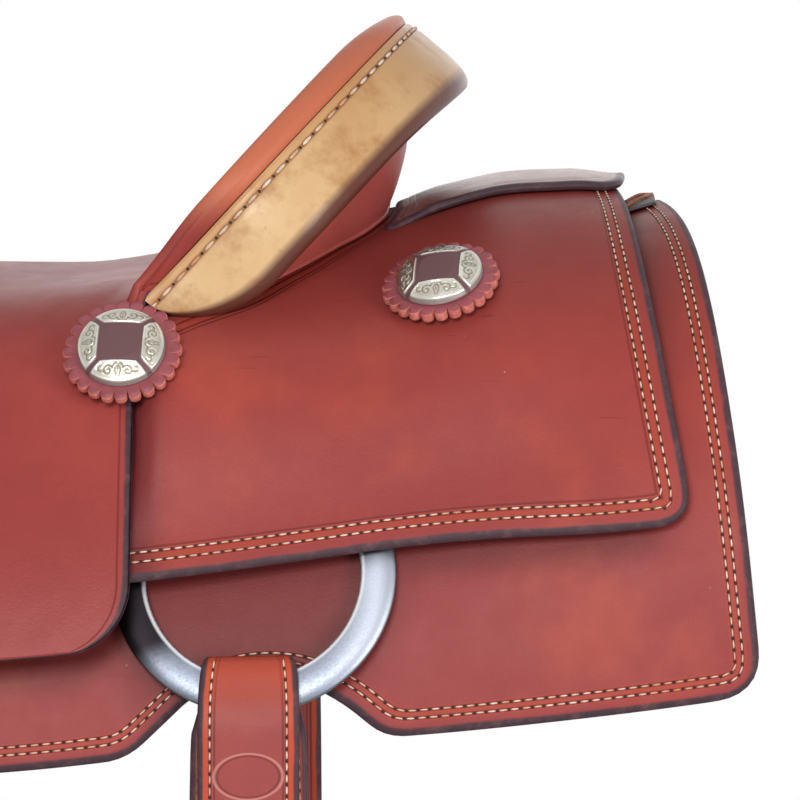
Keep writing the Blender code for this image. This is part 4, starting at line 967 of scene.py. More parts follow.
def rawhide_finish():
    paint = Paint("rawhide")
    seam = paint.attribute("seam")
    slow = paint.noise(9.0, 3.0, 0.55)
    cloud = paint.noise(38.0, 5.0, 0.62)
    fine = paint.noise(240.0, 3.0, 0.6)
    colour = paint.mix(paint.between(slow, 0.3, 0.7), srgb(192, 146, 96), srgb(214, 180, 134))
    colour = paint.mix(paint.between(cloud, 0.44, 0.74) * 0.8, colour, srgb(160, 106, 56))
    colour = paint.mix(paint.between(fine, 0.6, 0.8) * 0.3, colour, srgb(130, 84, 40))
    front = paint.between(seam, 9.0, 4.5)
    colour = paint.mix(front * 0.5, colour, srgb(188, 132, 84))
    # Painted shade: the sunk seam's groove is darker brown.
    groove = paint.line(seam, SEAM_AT, 1.5)
    colour = paint.mix(groove * 0.8, colour, srgb(138, 80, 40))
    rear = paint.attribute("underside")
    colour = paint.mix(rear * 0.95, colour, srgb(84, 34, 28))
    wrinkle = paint.noise(60.0, 4.0, 0.6, stretch=(1.0, 0.4, 1.0))
    height = cloud * 0.5 + fine * 0.35 + wrinkle * 0.6 - groove * 2.0
    rough = 0.36 + (cloud - 0.5) * 0.2
    shine = {"Coat_Weight": 0.08, "Specular_IOR_Level": 0.3}
    return paint.finish(colour, rough, paint.bump(height, 0.0006, 0.6), **shine)


rawhide = rawhide_finish()
TAPER_START = 0.86
ROLL_WIDTH, ROLL_THICK, BINDING_THICK = 37.0, 9.0, 1.7


def roll_size(share):
    into = max(abs(share) - TAPER_START, 0.0) / (1 - TAPER_START)
    taper = 0.12 + 0.88 * math.sqrt(max(1 - into * into, 0.0))
    return taper * (1.09 - 0.09 * float(smoothstep(0.1, 0.55, abs(share))))


def roll_spot(share, a, b):
    size = roll_size(share)
    return rim(share) + ROLL * (a * size) + rim_normal(share) * (b * min(0.4 + 0.6 * size, 1.0))


# %% Cantle binding
def tube(name, points, count, finish, **attributes):
    """A closed body from rings of count points each, capped at both ends."""
    rings = len(points) // count
    last = (rings - 1) * count
    caps = [list(range(count))[::-1], [last + j for j in range(count)]]
    return piece(name, points, grid_faces(rings, count, close=True) + caps, finish, **attributes)


def rounded_line(points, rounds=2):
    """Soften an open line's corners by cutting them."""
    line = [np.array(p, float) for p in points]
    for _ in range(rounds):
        made = [line[0]]
        for a, b in zip(line, line[1:]):
            made += [a * 0.75 + b * 0.25, a * 0.25 + b * 0.75]
        line = made + [line[-1]]
    return line


def binding():
    w, h, t = ROLL_WIDTH, ROLL_THICK, BINDING_THICK
    outer = [(1.2, -0.2), (3.0, 0.9), (10, 1.5), (w - 9, 1.6), (w - 2.5, -0.6)]
    outer += [(w, -4.5), (w - 2.5, -8.0), (w - 9, -h), (9, -h)]
    inner = [(9, -h + t), (w - 9, -h + t), (w - 4, -7.0), (w - t, -4.5)]
    inner += [(w - 4, -1.8), (w - 9, 1.6 - t), (10, 1.5 - t), (1.2, -t)]
    section = rounded_line(outer) + rounded_line(inner)
    stations = np.sin(np.pi / 2 * np.linspace(-1, 1, 181)) * 0.9993
    points, seam, under = [], [], []
    for share in stations:
        for a, b in section:
            dip = 0.7 * math.exp(-(((a * roll_size(share) - SEAM_AT) / 1.3) ** 2)) if b > -1 else 0.0
            points.append(roll_spot(share, a, b - dip))
            seam.append(a * roll_size(share))
            under.append(max(float(smoothstep(-0.9, -4.4, b)), float(smoothstep(w - 9.0, w - 5.0, a))))
    return tube("rawhide_binding", points, len(section), rawhide, seam=seam, underside=under)


dress(binding(), "saddle", "cantle_binding", slot="rawhide")
line, ups = [], []
for share in np.sin(np.pi / 2 * np.linspace(-0.985, 0.985, 400)):
    line.append(roll_spot(share, SEAM_AT / roll_size(share), 0.95))
    ups.append(rim_normal(share))
lace_stitch = {"Pitch": 0.0088, "Thread Length": 0.0062, "Thread Width": 0.0016}
stitches("binding_stitches", [(line, ups)], "saddle", lace_stitch)

# %% Cantle back
CANTLE_SEAM = [(134, 0), (133, 30), (125, 55), (112, 72), (100, 85), (88, 95), (76, 104), (66, 110)]
SEAM_X = curve([(i, k[0]) for i, k in enumerate(CANTLE_SEAM)])
SEAM_S = curve([(i, k[1]) for i, k in enumerate(CANTLE_SEAM)])


def cantle_spot(share, up, deep):
    """A point of the facing behind the cantle: up runs 0 at the jockeys to 1 under the roll."""
    size = abs(share) * (len(CANTLE_SEAM) - 1)
    x, s = float(SEAM_X(size)), float(SEAM_S(size))
    way = -1.0 if share < 0 else 1.0
    inwards = Vector((-1.0, -way * 1.3 * abs(share), 0)).normalized()
    base = spot(x, way * s, jockey_lift(x, s) + 0.9) + inwards * deep
    at = share * 0.84
    top = rim(at) + ROLL * 7.0 - rim_normal(at) * (ROLL_THICK + 1.2) + inwards * deep * 0.8
    bow = 6.5 * math.sin(math.pi * up**0.85) * float(smoothstep(27.0, 68.0, (top - base).length))
    return base + (top - base) * up - inwards * bow


def cantle_back():
    shares = np.linspace(-1, 1, 101)
    ups = np.concatenate([[0, 0.01, 0.03, 0.07], np.linspace(0.12, 1, 16)])
    outer = [[cantle_spot(a, u, 0.0) for u in ups] for a in shares]
    inner = [[cantle_spot(a, u, 3.2) for u in reversed(ups)] for a in shares]
    points = [p for o, i in zip(outer, inner) for p in o + i]
    height = [u * 80.0 for u in ups] + [u * 80.0 for u in reversed(ups)]
    return tube("leather_cantle_back", points, 2 * len(ups), back_leather, edge=height * len(shares))


dress(cantle_back(), "saddle", "cantle_back")
points = []
for share in np.linspace(-1, 1, 161):
    middle = np.array(cantle_spot(share, 0.0, -0.6)) + (0, 0, 0.9)
    outwards = np.array(cantle_spot(share, 0.0, -1.6)) - np.array(cantle_spot(share, 0.0, -0.6))
    for turn in np.linspace(0, 2 * math.pi, 12, endpoint=False):
        points.append(middle + outwards * 1.3 * math.cos(turn) + np.array((0, 0, 1.2)) * math.sin(turn))
dress(tube("leather_cantle_welt", points, 12, back_leather, edge=np.full(len(points), 4.0)), "saddle")

# %% Rear plate
PLATE_HALF = [
    (132, 57, 6), (145, 52.5, 10), (162, 45, 14), (182, 41.5, 14), (208, 41.5, 12), (227, 38, 10),
    (237, 26, 10),
]
PLATE = [(x, -s, r) for x, s, r in PLATE_HALF] + [(240, 0, 20)] + PLATE_HALF[::-1]
PLATE += [(138, 30, 8), (138, -30, 8)]


def plate_lift(x, _):
    """The plate rests on both jockeys, and is skived thin where it meets the cantle."""
    return JOCKEY_HIGH(x) + 4.6 - 3.2 * smoothstep(158.0, 134.0, x)


made, outline = sheet(
    "leather_rear_plate", PLATE, plate_lift, 4.0, 1.0, plate_leather, rings=RINGS[:8], grid=6.0
)
dress(made, "saddle", "rear_plate")

# %% [markdown]
# ## Steel, silver, wood and wool
#
# The rings are flat and ground smooth, so their faces show long soft reflections; painted reflections darken
# the top of each ring and lighten its rear, and a painted highlight makes the thin bright line on the inner
# rim. The other finishes are on pieces that the leather mostly hides.


# %% Metals
def metal(name, tone, dark, roughness, scale=90.0):
    """Two tones of clouded metal with small dark pits."""
    paint = Paint(name)
    cloud = paint.noise(scale * 0.3, 3.0, 0.6)
    fine = paint.noise(scale * 12, 3.0, 0.6)
    pits = paint.between(paint.cells(scale * 3.0), 0.09, 0.03) * paint.between(cloud, 0.4, 0.6)
    colour = paint.mix(paint.between(cloud, 0.35, 0.75) * 0.5, srgb(*tone), srgb(*dark))
    colour = paint.mix(pits * 0.6, colour, srgb(*dark))
    rough = roughness + (cloud - 0.5) * 0.12 + (fine - 0.5) * 0.1
    return paint.finish(colour, rough, paint.bump(fine * 0.5 - pits, 0.00012, 0.35), Metallic=1.0)


RING_SPACING = 390.4


def ring_finish():
    """Satin steel with painted reflections: darker over the top of the ring, reaching lower at its front, and
    lighter towards its rear.
    """
    paint = Paint("satin_steel")
    cloud = paint.noise(24.0, 3.0, 0.6)
    fine = paint.noise(1000.0, 3.0, 0.6)
    spot_at = paint.node("ShaderNodeSeparateXYZ", Vector=paint.place)
    along = paint.math("FLOORED_MODULO", Wire(paint, spot_at.outputs["X"]) * 1000.0, RING_SPACING)
    wear_and_shade = Wire(paint, spot_at.outputs["Z"]) * 1000.0 - along * 0.5 + (cloud - 0.5) * 16.0
    colour = paint.mix(paint.between(fine, 0.35, 0.7) * 0.5, srgb(132, 138, 150), srgb(104, 110, 122))
    # Painted reflection: lighter towards the ring's rear.
    colour = paint.mix(paint.between(along, 104.0, 132.0) * 0.6, colour, srgb(160, 164, 174))
    # Painted reflection: darker over the top of the ring, reaching lower at its front.
    colour = paint.mix(paint.between(wear_and_shade, -130.0, -110.0), colour, srgb(38, 34, 38))
    # Painted highlight: a bright line on the inner bevel.
    edge = paint.attribute("bevel")
    colour = paint.mix(edge * 0.9, colour, srgb(226, 226, 230))
    rough = 0.42 + (cloud - 0.5) * 0.15 + (fine - 0.5) * 0.16
    return paint.finish(colour, rough, paint.bump(fine, 0.0001, 0.3), Metallic=1.0)


steel = ring_finish()
dull_steel = metal("dull_steel", (150, 150, 152), (96, 92, 90), 0.45)
brass = metal("brass", (196, 158, 92), (140, 104, 52), 0.35)


def silver_finish():
    """Engraved silver: the cuts hold tarnish, and the square centre is dark."""
    paint = Paint("engraved_silver")
    engraved = paint.attribute("engraved")
    dark = paint.attribute("dark")
    cloud = paint.noise(120.0, 3.0, 0.6)
    colour = paint.mix(paint.between(cloud, 0.35, 0.7) * 0.4, srgb(206, 203, 194), srgb(160, 154, 138))
    colour = paint.mix(engraved * 0.85, colour, srgb(104, 94, 68))
    colour = paint.mix(dark, colour, srgb(96, 62, 64))
    fine = paint.noise(700.0, 3.0, 0.6)
    rough = 0.27 + engraved * 0.3 + dark * 0.25
    metallic = 1.0 - dark * 0.9
    return paint.finish(colour, rough, paint.bump(fine, 0.0001, 0.3), Metallic=metallic)


silver = silver_finish()


# %% Wood, wool, rubber and lace
def plain(name, tone, other, scale, roughness, height, stretch=None, strength=0.5):
    """Two tones in soft clouds, with a fine relief."""
    paint = Paint(name)
    cloud = paint.noise(scale, 4.0, 0.6, stretch=stretch)
    fine = paint.noise(scale * 6, 3.0, 0.65, stretch=stretch)
    colour = paint.mix(paint.between(cloud, 0.3, 0.7), srgb(*tone), srgb(*other))
    rough = roughness + (fine - 0.5) * 0.15
    return paint.finish(colour, rough, paint.bump(cloud + fine * 0.6, height, strength))


tree_wood = plain("tree_wood", (182, 146, 100), (150, 112, 70), 14.0, 0.65, 0.0006, (0.25, 3.0, 3.0))
stirrup_wood = plain("oiled_stirrup_wood", (120, 74, 44), (88, 50, 30), 22.0, 0.4, 0.0003, (3.0, 3.0, 0.4))
wool = plain("sheepskin", (222, 208, 180), (190, 170, 136), 160.0, 0.95, 0.0035, strength=0.9)
rubber = plain("black_rubber", (34, 32, 32), (48, 44, 44), 120.0, 0.6, 0.0003)
lace_finish = plain("oiled_lace", (166, 92, 48), (126, 66, 40), 130.0, 0.5, 0.0003)
filler = plain("stiff_filler", (120, 76, 52), (96, 58, 40), 60.0, 0.75, 0.0004)
dark_leather = plain("dark_leather", (58, 38, 40), (40, 27, 30), 90.0, 0.5, 0.0004)
print("materials:", len(bpy.data.materials))

# %% [markdown]
# ## Rigging rings and straps
#
# A strap is a flat bar of leather bent along a path. Its stations lie closer together at both ends, so the
# ends are rounded as the edges are. The flank billet is doubled over the ring's lower rim and both its
# layers hang straight down; the wider one is behind.


# %% Straps
BAND_EDGE = np.array([0.0, 0.25, 0.8, 1.7, 3.0, 4.6, 6.4])


def at_distances(line, stations):
    """The line's points at given distances along it."""
    steps = np.linalg.norm(np.diff(line[:, :2], axis=0), axis=1)
    along = np.concatenate([[0.0], np.cumsum(steps)])
    stations = np.clip(stations, 0, along[-1])
    return np.stack([np.interp(stations, along, line[:, k]) for k in range(line.shape[1])], axis=1)


def band(name, path, thick, to_space, finish, radius=None, spacing=3.0, soften=3):
    """A strap along a path of (a, b, low, high); to_space turns (a, b, place across) into a point."""
    line = evenly(np.array(rounded_line(path, soften)), 1.0)
    total = float(np.sum(np.linalg.norm(np.diff(line[:, :2], axis=0), axis=1)))
    stations = np.unique(np.concatenate([BAND_EDGE, np.arange(8.0, total - 8.0, spacing), total - BAND_EDGE]))
    line = at_distances(line, stations)
    ahead = np.gradient(line[:, :2], stations, axis=0)
    ahead /= np.linalg.norm(ahead, axis=1)[:, None]
    normal = np.stack([-ahead[:, 1], ahead[:, 0]], axis=1)
    wide = line[:, 3] - line[:, 2]
    fine = BAND_EDGE * min(1.0, float(wide.min()) / 22.0)
    over = [np.full_like(wide, e) for e in fine] + [wide * part for part in (0.36, 0.5, 0.64)]
    over = np.stack(over + [wide - e for e in fine[::-1]], axis=1)
    ends = np.minimum(stations, total - stations)[:, None]
    gap = np.minimum(np.minimum(over, wide[:, None] - over), ends)
    lift = thick / 2 - edge_round(gap, thick, radius)
    faces_at = []
    for way in (1, -1):
        a = line[:, None, 0] + way * normal[:, None, 0] * lift
        b = line[:, None, 1] + way * normal[:, None, 1] * lift
        faces_at.append(to_space(a, b, line[:, None, 2] + over))
    ring = np.concatenate([faces_at[0], faces_at[1][:, ::-1]], axis=1)
    rows, count = ring.shape[:2]
    half = count // 2
    faces = grid_faces(rows, count, close=True)
    for start in (0, (rows - 1) * count):
        end = start + count - 1
        faces += [[start + i, start + i + 1, end - 1 - i, end - i] for i in range(half - 1)]
    fold = np.broadcast_to(np.abs(stations - total / 2)[:, None], over.shape)
    values = {"edge": gap, "fold": fold, "across": over - wide[:, None] / 2}
    values = {key: np.concatenate([value, value[:, ::-1]], axis=1) for key, value in values.items()}
    return piece(name, ring, faces, finish, **values), (line, normal, stations, total)


def band_row(shape, thick, to_space, off, way, start, end, low_side=True):
    """A line along a strap's face, a fixed distance from one edge."""
    line, normal, stations, total = shape
    keep = (stations > start) & (stations < (end if end > 0 else total + end))
    line, normal = line[keep], normal[keep]
    width_at = line[:, 2] + off if low_side else line[:, 3] - off
    out = thick / 2 + 0.1
    a, b = line[:, 0], line[:, 1]
    points = to_space(a + way * normal[:, 0] * out, b + way * normal[:, 1] * out, width_at)
    up = points - to_space(a, b, width_at)
    return points, up / np.linalg.norm(up, axis=1)[:, None]


# %% Billet finish
OVAL_AT, OVAL_WIDE, OVAL_HIGH = 52.0, 14.2, 9.4


def billet_touch(paint, base, edge, _):
    """Redder where the strap bends over the ring and along its edges, with a bare pressed oval."""
    fold = paint.attribute("fold")
    base = paint.mix(paint.between(fold, 36.0, 6.0) * 0.7, base, srgb(180, 74, 48))
    base = paint.mix(paint.between(edge, 5.0, 4.2) * 0.8, base, srgb(190, 76, 48))
    wide, high = paint.attribute("across") / OVAL_WIDE, (fold - OVAL_AT) / OVAL_HIGH
    oval = paint.math("SQRT", wide * wide + high * high, 0.0)
    base = paint.mix(paint.line(oval, 1.0, 0.075) * 0.6, base, srgb(214, 150, 136))
    return paint.mix(paint.line(oval, 0.9, 0.06) * 0.6, base, srgb(92, 34, 32))


# %% Ring frames
RING_OUTER, RING_INNER, RING_THICK = 59.2, 44.5, 5.0


class RingPlane:
    """The plane of a ring on the side: down the slope, out of it and along the horse."""

    def __init__(self, x, side):
        top, bottom = fold_place(x, side * 157.0), fold_place(x, side * 278.0)
        self.down = (bottom - top) / np.linalg.norm(bottom - top)
        self.out = np.array((0.0, side * abs(self.down[2]), abs(self.down[1])))
        self.centre = (top + bottom) / 2 + self.out * 12.0
        self.x = x
        along = np.array((2 * RING_OUTER, 0.0, float(ridge(x + RING_OUTER) - ridge(x - RING_OUTER))))
        axis = np.cross(along, self.down)
        self.axis = axis / np.linalg.norm(axis) * np.sign(axis @ self.out)
        self.tilt = -self.axis[0] / (self.axis @ self.out)

    def at(self, down, out, x):
        down, out, x = np.broadcast_arrays(down, out, x)
        point = self.centre + down[..., None] * self.down + (out + self.tilt * x)[..., None] * self.out
        return np.concatenate([(self.x + x)[..., None], point[..., 1:]], axis=-1)

    def local(self, point):
        away = np.asarray(point) - self.centre
        return float(away @ self.down), float(away @ self.out)


def fold_place(x, s, lift=0.0):
    """The same surface as the solids have it, folded in straight strips."""
    rows = np.arange(0.0, 401.0, 20.0)
    low = math.floor(x / 90.0) * 90.0
    t = (x - low) / 90.0
    height = float((1 - t) * ridge(low) + t * ridge(low + 90.0))
    side, size = (-1.0 if s < 0 else 1.0), abs(s)
    angles = slope(rows)
    angles[0] = 0.0
    across = np.interp(size, rows, np.interp(rows, STEPS, ACROSS))
    drop = np.interp(size, rows, np.interp(rows, STEPS, DROP))
    out_y = np.interp(size, rows, np.sin(angles))
    out_z = np.interp(size, rows, np.cos(angles))
    return np.array((x, side * (across + lift * out_y), height - drop + lift * out_z))


# %% Rings
def turned(name, profile, centre, axis, finish, segments, **attributes):
    """Turn a closed profile of (radius, height) about an axis; attributes go with the profile's points."""
    axis = np.asarray(axis, float) / np.linalg.norm(axis)
    side = np.cross(axis, (0.0, 1.0, 0.0) if abs(axis[1]) < 0.9 else (1.0, 0.0, 0.0))
    side /= np.linalg.norm(side)
    third = np.cross(axis, side)
    turn = np.linspace(0, 2 * math.pi, segments, endpoint=False)
    around = np.cos(turn)[:, None] * side + np.sin(turn)[:, None] * third
    profile = np.array(profile, float)
    points = np.asarray(centre) + profile[None, :, :1] * around[:, None] + profile[None, :, 1:] * axis
    faces = grid_faces(segments + 1, len(profile), close=True)
    count = segments * len(profile)
    faces = [[i % count for i in face] for face in faces]
    values = {key: np.tile(value, segments) for key, value in attributes.items()}
    return piece(name, points, faces, finish, **values)


half = RING_THICK / 2
RING_PROFILE = [
    (RING_INNER, half - 1.3), (RING_INNER + 0.15, half - 0.9), (RING_INNER + 1.1, half - 0.4),
    (RING_INNER + 2.2, half - 0.22), (RING_INNER + 5.5, half - 0.02), (RING_OUTER - 7.0, half),
    (RING_OUTER - 4.2, half - 0.2), (RING_OUTER - 2.2, half - 0.7),
    (RING_OUTER - 0.6, half - 1.4), (RING_OUTER, half - 2.0), (RING_OUTER, 1.4 - half),
    (RING_OUTER - 1.2, -half), (RING_INNER + 1.2, -half), (RING_INNER, 1.4 - half),
]
# The profile points of the inner top bevel, which carry a painted highlight.
RING_BEVEL = [0, 1, 1, 0, 0, 0, 0, 0, 0, 0, 0, 0, 0, 0]
REAR_RING_X, FRONT_RING_X = 79.4, -311.0
BILLET_HALF, BILLET_WIDE, BILLET_THICK, BILLET_LENGTH, LATIGO_LENGTH = 21.0, 25.0, 3.6, 480.0, 440.0
STRAP_HALF, STRAP_THICK = 21.0, 3.2


def hanging_path(ring, length):
    """Doubled over the ring's lower rim, both ends falling plumb; each point has its half width."""
    outer, inner = ring.local(ring.at(72.0, 2.4, 0.0)), ring.local(ring.at(72.0, -1.8, 0.0))
    fall = (-ring.down[2], -ring.out[2])
    ends = [(p[0] + fall[0] * length, p[1] + fall[1] * length) for p in (inner, outer)]
    path = [(*ends[0], BILLET_WIDE), (*inner, BILLET_WIDE), (60, -4.9, 22), (48, -4.8, 19), (38.4, -4.9, 18)]
    path += [(35.8, 0, 18), (39, 5, 19.5), (48, 5, 20.5), (60, 5, BILLET_HALF), (*outer, BILLET_HALF)]
    path += [(*ends[1], BILLET_HALF)]
    return [(a, b, -1.5 - e, -1.5 + e) for a, b, e in path]


def rigging_path(ring, x, side):
    """From the tree down to the ring, round its upper rim and back up behind."""
    path = [ring.local(fold_place(x, side * s, lift)) for s, lift in ((128, 20.8), (140, 17.4), (148, 16.6))]
    path += [(-60, 4.8), (-46, 4.7), (-36, 4.6), (-33, 0), (-36, -4.4), (-46, -4.5), (-58, -4.5), (-64, -4.6)]
    return [(a, b, -STRAP_HALF, STRAP_HALF) for a, b in path]


def hanging_strap(name, ring, length):
    """A doubled strap with a row of stitches along both edges of each face."""
    made, shape = band("leather_" + name, hanging_path(ring, length), BILLET_THICK, ring.at, billet_leather)
    dress(made, name, name)
    fold = shape[3] / 2
    lines = ((5.2, 1.0, fold + 6, -6.0), (5.2, -1.0, fold + 6, -6.0), (3.4, -1.0, 6.0, fold - 24))
    rows = []
    for low_side in (True, False):
        rows += [band_row(shape, BILLET_THICK, ring.at, *line, low_side) for line in lines]
    stitches(name + "_stitches", rows, name)


BILLET_TONES = ((150, 70, 68), (160, 78, 74), (168, 82, 70), (136, 60, 60))
billet_leather = leather_finish(
    "billet_leather", BILLET_TONES, grooves=(5.2,), creases=(6.9,), dark_edge=3.0, touch=billet_touch
)
for side, word in WORDS:
    front_strap = "latigo_left" if side < 0 else "off_billet_right"
    for end, x, strap, length in (
        ("rear", REAR_RING_X, "flank_billet_" + word, BILLET_LENGTH),
        ("front", FRONT_RING_X, front_strap, LATIGO_LENGTH),
    ):
        ring, name = RingPlane(x, side), end + "_ring_" + word
        made = turned("steel_" + name, RING_PROFILE, ring.centre, ring.axis, steel, 128, bevel=RING_BEVEL)
        dress(made, name, name, slot="steel")
        name = end + "_rigging_strap_" + word
        path = rigging_path(ring, x, side)
        made, shape = band("leather_" + name, path, STRAP_THICK, ring.at, plain_leather, soften=2)
        dress(made, "saddle", name)
        hanging_strap(strap, ring, length)

# %% [markdown]
# ## Conchos and rosettes
#
# Each concho is a silver disc, domed, with a dark square in the middle. Four engraved panels slope away from
# the square to the rim, with a bare gap between neighbours. It sits on a rosette: a leather disc cut into
# petals, whose raw edges are pale and rough.


# %% Scrolls of one panel
def spiral(cx, cy, start, end, big, small, steps=26):
    """A curl round a centre that grows tighter."""
    t = np.linspace(0, 1, steps)
    angle, radius = start + (end - start) * t, big + (small - big) * t
    return np.stack([cx + radius * np.cos(angle), cy + radius * np.sin(angle)], axis=1)


CONCHO_RADIUS, CONCHO_SQUARE, DOME_EDGE, DOME_RISE = 18.6, 9.2, 1.3, 5.6
PETAL_ROOT, PETAL_TIP = 19.0, 25.0


def scroll_lines():
    """Two mirrored scrolls, a leaf between them and small cuts, drawn on the panel above the square."""
    lines = []
    for way in (-1.0, 1.0):
        curl = spiral(4.3, 13.6, -2.6, 5.4, 2.3, 0.35)
        tail = np.array([(0.6, 10.6), (1.6, 10.9), (2.4, 12.0)])
        leaf = spiral(7.6, 12.2, 2.4, -1.6, 1.8, 0.5, 14)
        inner = np.array([(0.5, 11.8), (1.2, 13.4), (0.4, 16.2)])
        lines += [line * (way, 1.0) for line in (curl, tail, leaf, inner)]
    lines.append(np.array([(0.0, 11.0), (0.0, 14.4)]))
    return lines


def line_distance(points, lines):
    """Distance of each flat point from the nearest of several lines."""
    best = np.full(len(points), 1e9)
    for line in lines:
        for a, b in zip(line, line[1:]):
            run = b - a
            t = np.clip((points - a) @ run / (run @ run), 0, 1)
            best = np.minimum(best, np.linalg.norm(points - a - t[:, None] * run, axis=1))
    return best


def trim_frame(x, s, lift):
    """Where a trim piece sits on a sheet, and the way out of the leather there."""
    centre = spot(x, s, float(lift(x, abs(s))))
    side = 1.0 if s >= 0 else -1.0
    ahead = spot(x + 6, s, float(lift(x + 6, abs(s)))) - spot(x - 6, s, float(lift(x - 6, abs(s))))
    low, high = s + side * 6, s - side * 6
    down = spot(x, low, float(lift(x, abs(low)))) - spot(x, high, float(lift(x, abs(high))))
    normal = ahead.cross(down).normalized()
    return centre, normal if normal.z > 0 else -normal


def dome_height(radius):
    return DOME_EDGE + DOME_RISE * (1 - (radius / CONCHO_RADIUS) ** 2) ** 0.62


def face_ways(normal):
    """Two directions in the plane of a trim piece, the first one along the horse."""
    x_way = Vector((1, 0, 0)) - normal * normal.x
    x_way.normalize()
    return x_way, normal.cross(x_way)


def concho(name, centre, normal, spin):
    """A domed disc; the square and the panels are marked per point and raised a little."""
    turns = 216
    radii = np.concatenate([np.linspace(0.05, CONCHO_RADIUS - 0.9, 58), [17.9, 18.15, 18.4, 18.55, 18.6]])
    angle = np.linspace(0, 2 * math.pi, turns, endpoint=False)
    r, a = np.meshgrid(radii, angle)
    u, v = r * np.cos(a), r * np.sin(a)
    reach = np.maximum(np.abs(u), np.abs(v))
    spare = np.minimum(np.abs(u), np.abs(v))
    dome = dome_height(r)
    flat_top = dome_height(CONCHO_SQUARE)
    height = np.where(reach < CONCHO_SQUARE, np.minimum(dome, flat_top + 0.2), dome)
    beyond = reach - CONCHO_SQUARE
    diagonal = (reach - spare) / math.sqrt(2)
    panel = smoothstep(0.0, 0.35, beyond) * smoothstep(1.0, 1.3, diagonal)
    panel = panel * smoothstep(CONCHO_RADIUS, 18.2, r)
    border = np.minimum(np.minimum(beyond, diagonal - 1.2), CONCHO_RADIUS - r)
    rim = panel * smoothstep(1.1, 0.7, np.abs(border - 0.2))
    across = np.where(np.abs(u) > np.abs(v), v * np.sign(u), u)
    cuts = line_distance(np.stack([across.ravel(), reach.ravel()], axis=1), scroll_lines()).reshape(r.shape)
    engraved = smoothstep(0.42, 0.12, cuts) * panel * (1 - rim)
    ground_in = smoothstep(1.5, 1.9, border) * 0.28 * panel
    height = height + panel * 0.5 + rim * 0.25 - engraved * 0.35
    edge = np.where(r > 18.5, 0.0, height)
    x_way, y_way = face_ways(normal)
    cs, sn = math.cos(spin), math.sin(spin)
    right, upward = np.array(x_way * cs + y_way * sn), np.array(y_way * cs - x_way * sn)
    points = np.array(centre) + u[..., None] * right + v[..., None] * upward
    points = points + edge[..., None] * np.array(normal)
    rings = len(radii)
    faces = [[i % (turns * rings) for i in face] for face in grid_faces(turns + 1, rings)]
    faces.append([i * rings for i in range(turns)])
    faces.append([i * rings + rings - 1 for i in range(turns)][::-1])
    dark = np.clip(1 - panel, 0, 1)
    return piece(name, points, faces, silver, engraved=np.maximum(engraved, ground_in), dark=dark)


# %% Rosettes
def rosette_finishes():
    top = Paint("rosette_top")
    cloud = top.noise(60.0, 3.0, 0.6)
    grain = top.noise(500.0, 3.0, 0.6)
    colour = top.mix(top.between(cloud, 0.35, 0.7), srgb(150, 72, 80), srgb(128, 56, 62))
    top_finish = top.finish(colour, 0.5, top.bump(grain, 0.0002, 0.4))
    cut = Paint("raw_cut_edge")
    fibre = cut.noise(420.0, 4.0, 0.7)
    colour = cut.mix(cut.between(fibre, 0.3, 0.7), srgb(176, 88, 78), srgb(206, 124, 110))
    return [top_finish, cut.finish(colour, 0.9, cut.bump(fibre, 0.0006, 0.8))]


def rosette(name, centre, normal, thick=4.0, petals=24):
    """A leather disc cut into petals, no two of which droop and reach alike."""
    finishes = rosette_finishes()
    rng = np.random.default_rng(7)
    profile = [(0.0, 0.0), (0.6, 0.0), (0.97, 0.0), (1.0, 0.25)]
    profile += [(1.0, 0.85), (0.97, 1.0), (0.8, 1.0), (0.0, 1.0)]
    shares = [-1.0, -0.88, -0.84, -0.68, -0.4, 0.0, 0.4, 0.68, 0.84, 0.88]
    points = []
    x_way, y_way = face_ways(normal)
    for petal in range(petals):
        sag, long = rng.uniform(-0.25, 0.35), rng.uniform(-0.35, 0.25)
        for share in shares:
            angle = (petal + 0.5 * share) * 2 * math.pi / petals
            reach = PETAL_TIP + long - 2.6 * (1 - math.sqrt(max(1 - (share / 0.9) ** 2, 0.0)))
            reach = PETAL_ROOT + 0.4 if share == -1.0 else reach
            for part, up in profile:
                if part > 0.6:
                    radius = PETAL_ROOT + (reach - PETAL_ROOT) * (part - 0.6) / 0.4
                else:
                    radius = PETAL_ROOT * part / 0.6
                droop = -(0.5 + sag) * max((radius - PETAL_ROOT) / 6.0, 0.0) ** 2
                way = x_way * math.cos(angle) + y_way * math.sin(angle)
                points.append(centre + way * radius + normal * (up * thick + droop))
    count, rows = len(profile), petals * len(shares)
    faces = [[i % (rows * count) for i in face] for face in grid_faces(rows + 1, count, close=True)]
    slots = [1 if i % count in (2, 3, 4) else 0 for i in range(len(faces))]
    return piece(name, points, faces, finishes, slots)


TRIM = ((1, 25.0, 132.0, seat_lift, 5.2), (2, 158.0, 117.0, jockey_lift, 2.8))
for side, word in WORDS:
    for number, x, s, lift, above in TRIM:
        centre, normal = trim_frame(x, side * s, lift)
        seat_at = centre + normal * above
        ending = word + "_" + str(number)
        dress(rosette("leather_rosette_" + ending, seat_at, normal), "saddle", "rosette_" + ending)
        made = concho("silver_concho_" + ending, seat_at + normal * 4.3, normal, side * 0.06)
        dress(made, "saddle", "concho_" + ending, slot="silver")

# %% [markdown]
# ## Stirrup gear
#
# The fender is a broad sheet that keeps the rider's leg off the sweaty leather behind it. The stirrup leather
# goes round the tree's bar, down behind the fender and round the bolt of the stirrup.

# %% Hanging sheet
HANG_X, HANG_S, HANG_STRAIGHT, HANG_CURVE = -125.0, 185.0, 105.0, 220.0


